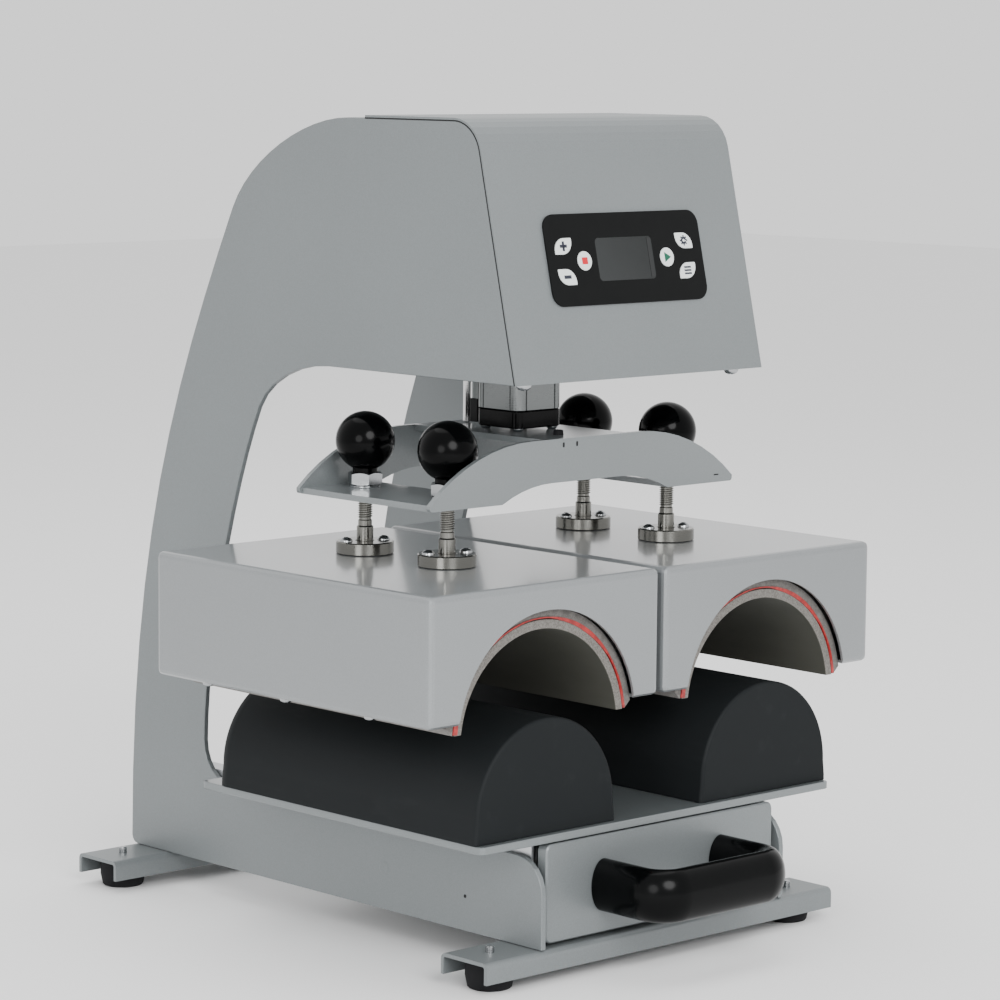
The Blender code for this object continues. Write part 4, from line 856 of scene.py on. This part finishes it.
def forms():
    """Rubber sock forms: a half round on short upright sides, sharp-edged at the front and rounded at the rear."""
    radius, lean, skirt = 0.0610, 0.0001, 0.004
    for side in SIDES:
        low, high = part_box("form_" + side)
        x = (low.x + high.x) / 2
        half = (high.x - low.x) / 2
        outline = [(x + half, low.z), (x + half - lean, low.z + skirt)]
        outline += arc(x, high.z - radius, radius, 0, 180, 72)
        outline += [(x - half + lean, low.z + skirt), (x - half, low.z)]
        form = plate(outline, high.y - low.y, run_from(low.y))
        tidy(form)
        floor = low.z + 0.0001
        soften(form, width=0.0150, segments=10, test=on_end(high.y, floor))
        soften(form, width=0.0026, segments=5, test=on_end(low.y, floor))
        settle(paint(form, RUBBER), "sock_form_" + side, "drawer", "rubber", "form_" + side, degrees=40)


def handle():
    """The bridge handle: an oval bar carried round two elbows onto its legs."""
    low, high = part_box("drawer_handle")
    seat, level = high.y, (low.z + high.z) / 2
    half_thick, half_tall = 0.0110, (high.z - low.z) / 2
    bend = 0.0165
    leg = high.x - half_thick
    bar = low.y + half_thick
    piece = start("circle", vertices=56, radius=1.0, fill_type="NGON", rotation=(math.pi / 2, 0, 0))
    piece.data.transform(Matrix.Translation((-leg, seat, level)) @ Matrix.Diagonal((half_thick, 1, half_tall, 1)))
    bpy.ops.object.mode_set(mode="EDIT")
    bpy.ops.mesh.select_all(action="SELECT")
    push((0, bar + bend - seat, 0))
    bpy.ops.mesh.spin(steps=16, angle=-math.pi / 2, center=(bend - leg, bar + bend, level), axis=(0, 0, 1))
    push((2 * (leg - bend), 0, 0))
    bpy.ops.mesh.spin(steps=16, angle=-math.pi / 2, center=(leg - bend, bar + bend, level), axis=(0, 0, 1))
    push((0, seat - bar - bend, 0))
    bpy.ops.object.mode_set(mode="OBJECT")
    tidy(piece)
    settle(paint(piece, GRIP), "bridge_handle", "drawer", "black_gloss", "drawer_handle", degrees=50)


forms()
handle()


# Control panel


PANEL = Matrix.Translation(PANEL_PLACE) @ Matrix.Rotation(math.pi / 2 - PANEL_TILT, 4, "X")


def leaf(side, at, grow=0.0):
    """A leaf outline with two opposite round corners and two pointed ones."""
    half_x, half_y = 0.0077 + grow, 0.0053 + grow
    points = []
    for turn, (sx, sy) in enumerate(CORNER_SIGNS):
        round_here = sx * sy == side
        radius = 0.0086 if round_here else 0.0006
        corner = (at[0] + sx * (half_x - radius), at[1] + sy * (half_y - radius))
        points += arc(*corner, radius, 90 * turn, 90 * turn + 90, 14 if round_here else 3)
    return points


def bar_at(width, height, at=(0, 0)):
    """A plain rectangle about a point."""
    x, y = at
    return [(x + sx * width / 2, y + sy * height / 2) for sx, sy in CORNER_SIGNS]


def key_symbols():
    """The printed sign on each key, as outlines about the key's middle, with its ink."""
    ring = arc(0, 0, 0.0025, 0, 340, 17) + arc(0, 0, 0.0010, 340, 0, 17)
    teeth = [bar_at(0.0012, 0.0012, p) for p in arc(0, 0, 0.0029, 0, 315, 7)]
    return {
        "plus": (INK, [bar_at(0.0064, 0.0021), bar_at(0.0021, 0.0064)]),
        "minus": (INK, [bar_at(0.0064, 0.0023)]),
        "stop": (RED_INK, [round_box(0.0052, 0.0046, 0.0005, 3)]),
        "start": (GREEN_INK, [[(0.0036, 0.0), (-0.0024, 0.0034), (-0.0024, -0.0034)]]),
        "set": (INK, [ring] + teeth),
        "mode": (INK, [bar_at(0.0066, 0.0012, (0, y)) for y in (0.0021, 0.0, -0.0021)]),
    }


KEY_PLACES = {
    "plus": (-0.0563, 0.0089),
    "minus": (-0.0562, -0.0113),
    "stop": (-0.0388, -0.0012),
    "start": (0.0375, -0.0012),
    "set": (0.0553, 0.0094),
    "mode": (0.0552, -0.0107),
}


def key_outline(name, grow=0.0):
    """The outline of one key on the panel."""
    x, y = KEY_PLACES[name]
    if name in ("stop", "start"):
        return arc(x, y, 0.0063 + grow, 0, 354, 59)
    return leaf(-1 if name in ("plus", "mode") else 1, (x, y), grow)


def keys():
    """Six leaf and round keys, each a pillowed cap with its sign printed on it."""
    top, thick = 0.0018, 0.0009
    ink_thick, ink_sunk = 0.00006, 0.00001
    for name, (ink, outlines) in key_symbols().items():
        x, y = KEY_PLACES[name]
        cap = plate(key_outline(name), thick)
        soften(cap, width=0.00022, segments=3, test=lambda edge: all(v.co.z > thick * 0.99 for v in edge.verts))
        cap.data.transform(PANEL @ raised(top - thick))
        parts = [paint(cap, KEY_WHITE)]
        for outline in outlines:
            mark = plate(outline, ink_thick, PANEL @ Matrix.Translation((x, y, top - ink_sunk)))
            parts.append(paint(mark, ink))
        settle(join(parts), "key_cap_" + name, "button_" + name, "key", "key_" + name)


def panel():
    """The black overlay with its window and key openings, a fine rim in the lighter platen paint as a painted
    highlight round its edge, and the display in the window.
    """
    back, face = 0.0003, 0.0015
    panel_middle, window_middle = (0, -0.0002), (-0.0010, -0.0008)
    outline = round_box(width=0.143, height=0.0605, radius=0.0095, steps=12, at=panel_middle)
    body = plate(outline, face - back, raised(back))
    through, below = 0.006, raised(-0.002)
    opening = round_box(width=0.0522, height=0.0285, radius=0.0030, steps=8, at=window_middle)
    holes = [plate(opening, through, below)]
    holes += [plate(key_outline(name, 0.0003), through, below) for name in KEY_PLACES]
    for hole in holes:
        carve(body, hole)
    body.data.transform(PANEL)
    settle(paint(body, OVERLAY), "panel_overlay", "frame", "black_plastic", "control_panel", degrees=1)
    # a rim just wider than the overlay, in the lighter platen paint: a painted highlight along the panel's edge
    outline = round_box(width=0.1438, height=0.0613, radius=0.0098, steps=12, at=panel_middle)
    rim = plate(outline, 0.0002, PANEL @ raised(0.0001))
    settle(paint(rim, SHELL), "panel_rim_painted_highlight", "frame", "grey_paint", degrees=1)
    outline = round_box(width=0.0521, height=0.0284, radius=0.0030, steps=8, at=window_middle)
    glass = plate(outline, 0.0006, PANEL @ raised(0.00085))
    film, on_glass = 0.00004, PANEL @ raised(0.00144)
    edge = plate(bar_at(0.0032, 0.0262, (0.0225, -0.0008)), film, on_glass)
    line = plate(bar_at(0.0003, 0.0272, (0.0207, -0.0008)), film, on_glass)
    window = join([paint(glass, GLASS), paint(edge, BEZEL), paint(line, OVERLAY)])
    settle(window, "display_window", "frame", "black_plastic", degrees=1)


keys()
panel()


# Head, feet and small parts


def actuator():
    """The drawn body with round corners and a fine groove beside each, and its moulded end cap."""
    low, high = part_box("actuator_body")
    middle = cx, cy = upright_axis(low, high)
    half = (high.x - low.x) / 2
    bend, groove = 0.0055, half - 0.0007
    quarter = [(half, half - 0.0085), (groove, half - 0.0082), (groove, half - 0.0074), (half, half - 0.0071)]
    quarter += arc(half - bend, half - bend, bend, 0, 90, 10)
    quarter += [(y, x) for x, y in quarter[3::-1]]
    outline = []
    for turn in range(4):
        c, s = round(math.cos(turn * math.pi / 2)), round(math.sin(turn * math.pi / 2))
        outline += [(cx + c * x - s * y, cy + s * x + c * y) for x, y in quarter]
    body = plate(outline, high.z - low.z, raised(low.z))
    settle(paint(body, ALUMINIUM), "actuator_tube", "frame", "aluminium", "actuator_body")
    low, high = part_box("actuator_end_cap")
    outline = round_box(high.x - low.x, high.y - low.y, 0.0056, 10, middle)
    cap = plate(outline, high.z - low.z, raised(low.z))
    soften(cap, width=0.0012, segments=4, test=at_heights(low.z, high.z))
    settle(paint(cap, CAP_GLOSS), "actuator_cap", "frame", "black_plastic", "actuator_end_cap")


def limit_switch():
    """The slim switch case under the metal strip that carries it."""
    low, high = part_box("limit_switch")
    outline = round_box(width=0.0118, height=0.0074, radius=0.0008, steps=4, at=(-0.0060, -0.0053))
    case = plate(outline, SWITCH_TOP - low.z, raised(low.z))
    soften(case, width=0.0004, segments=2, test=at_heights(SWITCH_TOP, low.z))
    outline = round_box(width=0.0096, height=0.0046, radius=0.0003, steps=2, at=(-0.0062, -0.0066))
    strip = plate(outline, high.z - SWITCH_TOP, raised(SWITCH_TOP))
    both = join([paint(case, PLASTIC), paint(strip, ALUMINIUM)])
    settle(both, "limit_switch_on_strip", "frame", "black_plastic", "limit_switch")


def seam_strips():
    """A dark strip along the line where the front cover meets each side plate."""
    foot = Vector(SEAM_FOOT)
    out = Vector((-math.cos(PANEL_TILT), math.sin(PANEL_TILT)))
    up = Vector((math.sin(PANEL_TILT), math.cos(PANEL_TILT)))
    run = (HEAD_TOP - HEAD_BEND - foot.y + HEAD_BEND * out.y) / up.y
    centre = foot + run * up - HEAD_BEND * out
    crown_rear, proud, sunk = -0.0087, 0.00035, -0.0006
    inner, outer, width = 0.1120, 0.11412, 0.00212
    lines = []
    for reach in (proud, sunk):
        bend = arc(*centre, HEAD_BEND + reach, 90, 180 - PANEL_TILT_DEGREES, 18)
        lines.append([(crown_rear, HEAD_TOP + reach)] + bend + [tuple(foot + reach * out)])
    outline = lines[0] + lines[1][::-1]
    stand = Matrix(((0, 0, 1, 0), (1, 0, 0, 0), (0, 1, 0, 0), (0, 0, 0, 1)))
    for side, sx in SIDES.items():
        left_edge = inner if sx > 0 else -outer
        strip = plate(outline, width, Matrix.Translation((left_edge, 0, 0)) @ stand)
        tidy(strip)
        settle(paint(strip, PLASTIC), "seam_" + side, "frame", "black_plastic")


def feet():
    """Moulded feet with a broken edge, and the stud tips above them."""
    studs = []
    for row in ROWS:
        for side in SIDES:
            node = "rubber_foot_" + row + "_" + side
            low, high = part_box(node)
            x, y = upright_axis(low, high)
            profile = [
                (0.0, 0.0),
                (0.0100, 0.0),
                (0.0104, 0.0006),
                (0.0128, 0.0006),
                (0.0136, 0.0003),
                (0.0145, 0.0012),
                (0.0151, 0.0040),
                (0.0160, 0.0085),
                (0.0160, high.z - 0.0008),
                (0.0152, high.z),
                (0.0, high.z),
            ]
            foot = paint(lathe(profile, (x, y), 72), FOOT)
            settle(foot, "foot_" + row + "_" + side, "frame", "rubber", node)
            studs.append(((x, y, 0.0223), 31 * len(studs), False))
    core, top = 0.0028, 0.0048
    stud = lathe([(0.0, top), (core - 0.0007, top), (core, top - 0.0007), (core, 0.0), (0.0, 0.0)], steps=36)
    ridge = thread((0, 0), crest=0.0030, root=0.0027, pitch=0.001, low=0.0004, high=0.0042)
    scatter(join([stud, ridge]), "foot_stud", ZINC, "frame", "zinc", studs)


def disc_mark(radius, rise, dish):
    """A pressed round mark: a low ring about a shallow dish, standing on Z = 0."""
    floor = rise * 0.3
    ring = [(radius * dish, floor), (radius * (dish + 0.15), rise), (radius * 0.9, rise * 0.7)]
    return lathe([(0.0, floor)] + ring + [(radius, -0.0001), (0.0, -0.0001)], steps=48)


def small_marks():
    """Witness marks of the welds on the side plates, dark films painted as the shade in slots of the yoke's flange,
    and a stop pad on its deck.
    """
    for side, sx in SIDES.items():
        low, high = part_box("side_plate_" + side)
        face = low.x if sx < 0 else high.x
        out = Matrix.Rotation(sx * math.pi / 2, 4, "Y")
        weld = disc_mark(radius=0.0052, rise=0.00022, dish=0.45)
        weld.data.transform(Matrix.Translation((face, -0.03125, 0.0510)) @ out)
        settle(paint(weld, PAINT), "weld_mark_" + side, "frame", "grey_paint")
        pip = disc_mark(radius=0.0013, rise=0.00025, dish=0.3)
        pip.data.transform(Matrix.Translation((face, -0.11135, 0.0460)) @ out)
        settle(paint(pip, PLASTIC), "weld_pip_" + side, "frame", "black_plastic")
    low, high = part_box("yoke")
    thin = 0.00012
    # thin dark films where the yoke's flange has slots: painted shade in place of the openings
    marks = [
        plate(round_box(0.0016, 0.0034, 0.00075, 4), thin, facing_front(x, low.y, 0.3358))
        for x in (-0.0220, -0.0096)
    ]
    marks.append(plate(round_box(0.0046, 0.0009, 0.0004, 4), thin, facing_front(0.1250, low.y, 0.3052)))
    settle(join([paint(mark, PLASTIC) for mark in marks]), "flange_slot_painted_shade", "press", "black_plastic")
    foot, top = 0.3399, 0.3434
    profile = [(0.0, top), (0.0024, top), (0.0033, top - 0.0006), (0.0035, foot), (0.0, foot)]
    pad = lathe(profile, (-0.008, -0.0850), 40)
    settle(paint(pad, FOOT), "deck_stop_pad", "press", "rubber")


def small_screws():
    """Screws under the head, under the actuator and under the platens."""
    low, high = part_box("head_front_cover")
    places = [((sx * 0.0965, low.y + 0.0120, low.z), 20 + 40 * i, True) for i, sx in enumerate((-1, 1))]
    scatter(cross_screw(radius=0.0052, height=0.0046), "cover_screw", ZINC, "frame", "zinc", places)
    low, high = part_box("actuator_end_cap")
    y = (low.y + high.y) / 2
    reach = 0.0158
    corners = ((-1, -1), (1, -1), (-1, 1), (1, 1))
    places = [((sx * reach, y + sy * reach, low.z), 25 * i, True) for i, (sx, sy) in enumerate(corners)]
    scatter(button_screw(radius=0.0040, height=0.0026), "actuator_screw", ZINC, "frame", "zinc", places)
    for side, sx in SIDES.items():
        low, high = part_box("platen_housing_" + side)
        x = sx * (abs(high.x if sx > 0 else low.x) - 0.0075)
        places = [((x, y, low.z), 33 * i, True) for i, y in enumerate((-0.112, -0.029, 0.051))]
        screw = cross_screw(radius=0.0042, height=0.0024)
        scatter(screw, "platen_screw_" + side, ZINC, "platen_" + side, "zinc", places)


actuator()
limit_switch()
seam_strips()
feet()
small_screws()
small_marks()


# Finishes of the CAD nodes that stay


PLAIN = {
    PAINT: [
        "side_plate_left",
        "side_plate_right",
        "front_channel",
        "rear_channel",
        "head_front_cover",
        "head_rear_cover",
        "head_floor_plate",
        "drawer_front",
        "drawer_side_left",
        "drawer_side_right",
    ],
    YOKE_PAINT: ["yoke"],
    DECK: ["tray_plate"],
    SHELL: ["platen_housing_left", "platen_housing_right"],
    PLASTIC: ["power_module"],
    GLOSS: ["rocker_switch"],
    BOARD: ["display_board"],
    CHROME: ["piston_rod", "guide_rod"],
    RAIL: ["slide_rail_" + part + "_" + side for part in ("fixed", "middle", "inner") for side in SIDES],
}
for material, names in PLAIN.items():
    for name in names:
        for holder in nodes[name].material_slots:
            holder.material = material


# Floor, light and camera


FLOOR_SIZE = 14.0
SKY_STRENGTH = 1.22
LAMP_AIM = (0, 0, 0.28)
LAMPS = (
    ("key_light", (-1.15, -2.70, 1.75), 1.70, 84.0),
    ("fill_light", (-2.90, -1.20, 1.00), 1.40, 26.0),
    ("top_light", (0.2, 0.6, 2.6), 2.4, 26.0),
)
CAMERA_PLACE = (-1.70217, -1.83161, 0.59796)
CAMERA_DEGREES = (-43.2173, -7.0827, 0.4983)
CAMERA_LENS = 131.73


def studio():
    """A plain pale floor with soft light from the front, the left and above."""
    floor = start("plane", size=1.0)
    floor.data.transform(Matrix.Diagonal((FLOOR_SIZE, FLOOR_SIZE, 1.0, 1.0)))
    made = Finish("pale_floor", roughness=0.85, specular=0.2)
    made.colour(made.blend(made.noise(3.0, 2.0) * 0.3, (0.90, 0.90, 0.90), (0.93, 0.93, 0.93)))
    paint(floor, made.material)
    floor.name = "floor"
    world = bpy.data.worlds.new("studio")
    world.use_nodes = True
    sky = world.node_tree.nodes["Background"].inputs
    sky["Color"].default_value = (1.0, 1.0, 1.0, 1.0)
    sky["Strength"].default_value = SKY_STRENGTH
    bpy.context.scene.world = world
    for name, place, size, power in LAMPS:
        lamp = bpy.data.lights.new(name, "AREA")
        lamp.shape = "DISK"
        lamp.size = size
        lamp.energy = power
        holder = bpy.data.objects.new(name, lamp)
        holder.location = place
        aim = Vector(LAMP_AIM) - Vector(place)
        holder.rotation_euler = aim.to_track_quat("-Z", "Y").to_euler()
        bpy.context.scene.collection.objects.link(holder)


def camera():
    """The camera at the photograph's angle and distance."""
    yaw, pitch, roll = (math.radians(v) for v in CAMERA_DEGREES)
    ahead = Vector((-math.sin(yaw) * math.cos(pitch), math.cos(yaw) * math.cos(pitch), math.sin(pitch)))
    right = Vector((math.cos(yaw), math.sin(yaw), 0))
    up = right.cross(ahead)
    across = right * math.cos(roll) + up * math.sin(roll)
    above = up * math.cos(roll) - right * math.sin(roll)
    data = bpy.data.cameras.new("camera")
    data.lens = CAMERA_LENS
    data.clip_end = 40.0
    holder = bpy.data.objects.new("camera", data)
    turn = Matrix((across, above, -ahead)).transposed().to_4x4()
    holder.matrix_world = Matrix.Translation(CAMERA_PLACE) @ turn
    bpy.context.scene.collection.objects.link(holder)
    bpy.context.scene.camera = holder


studio()
camera()
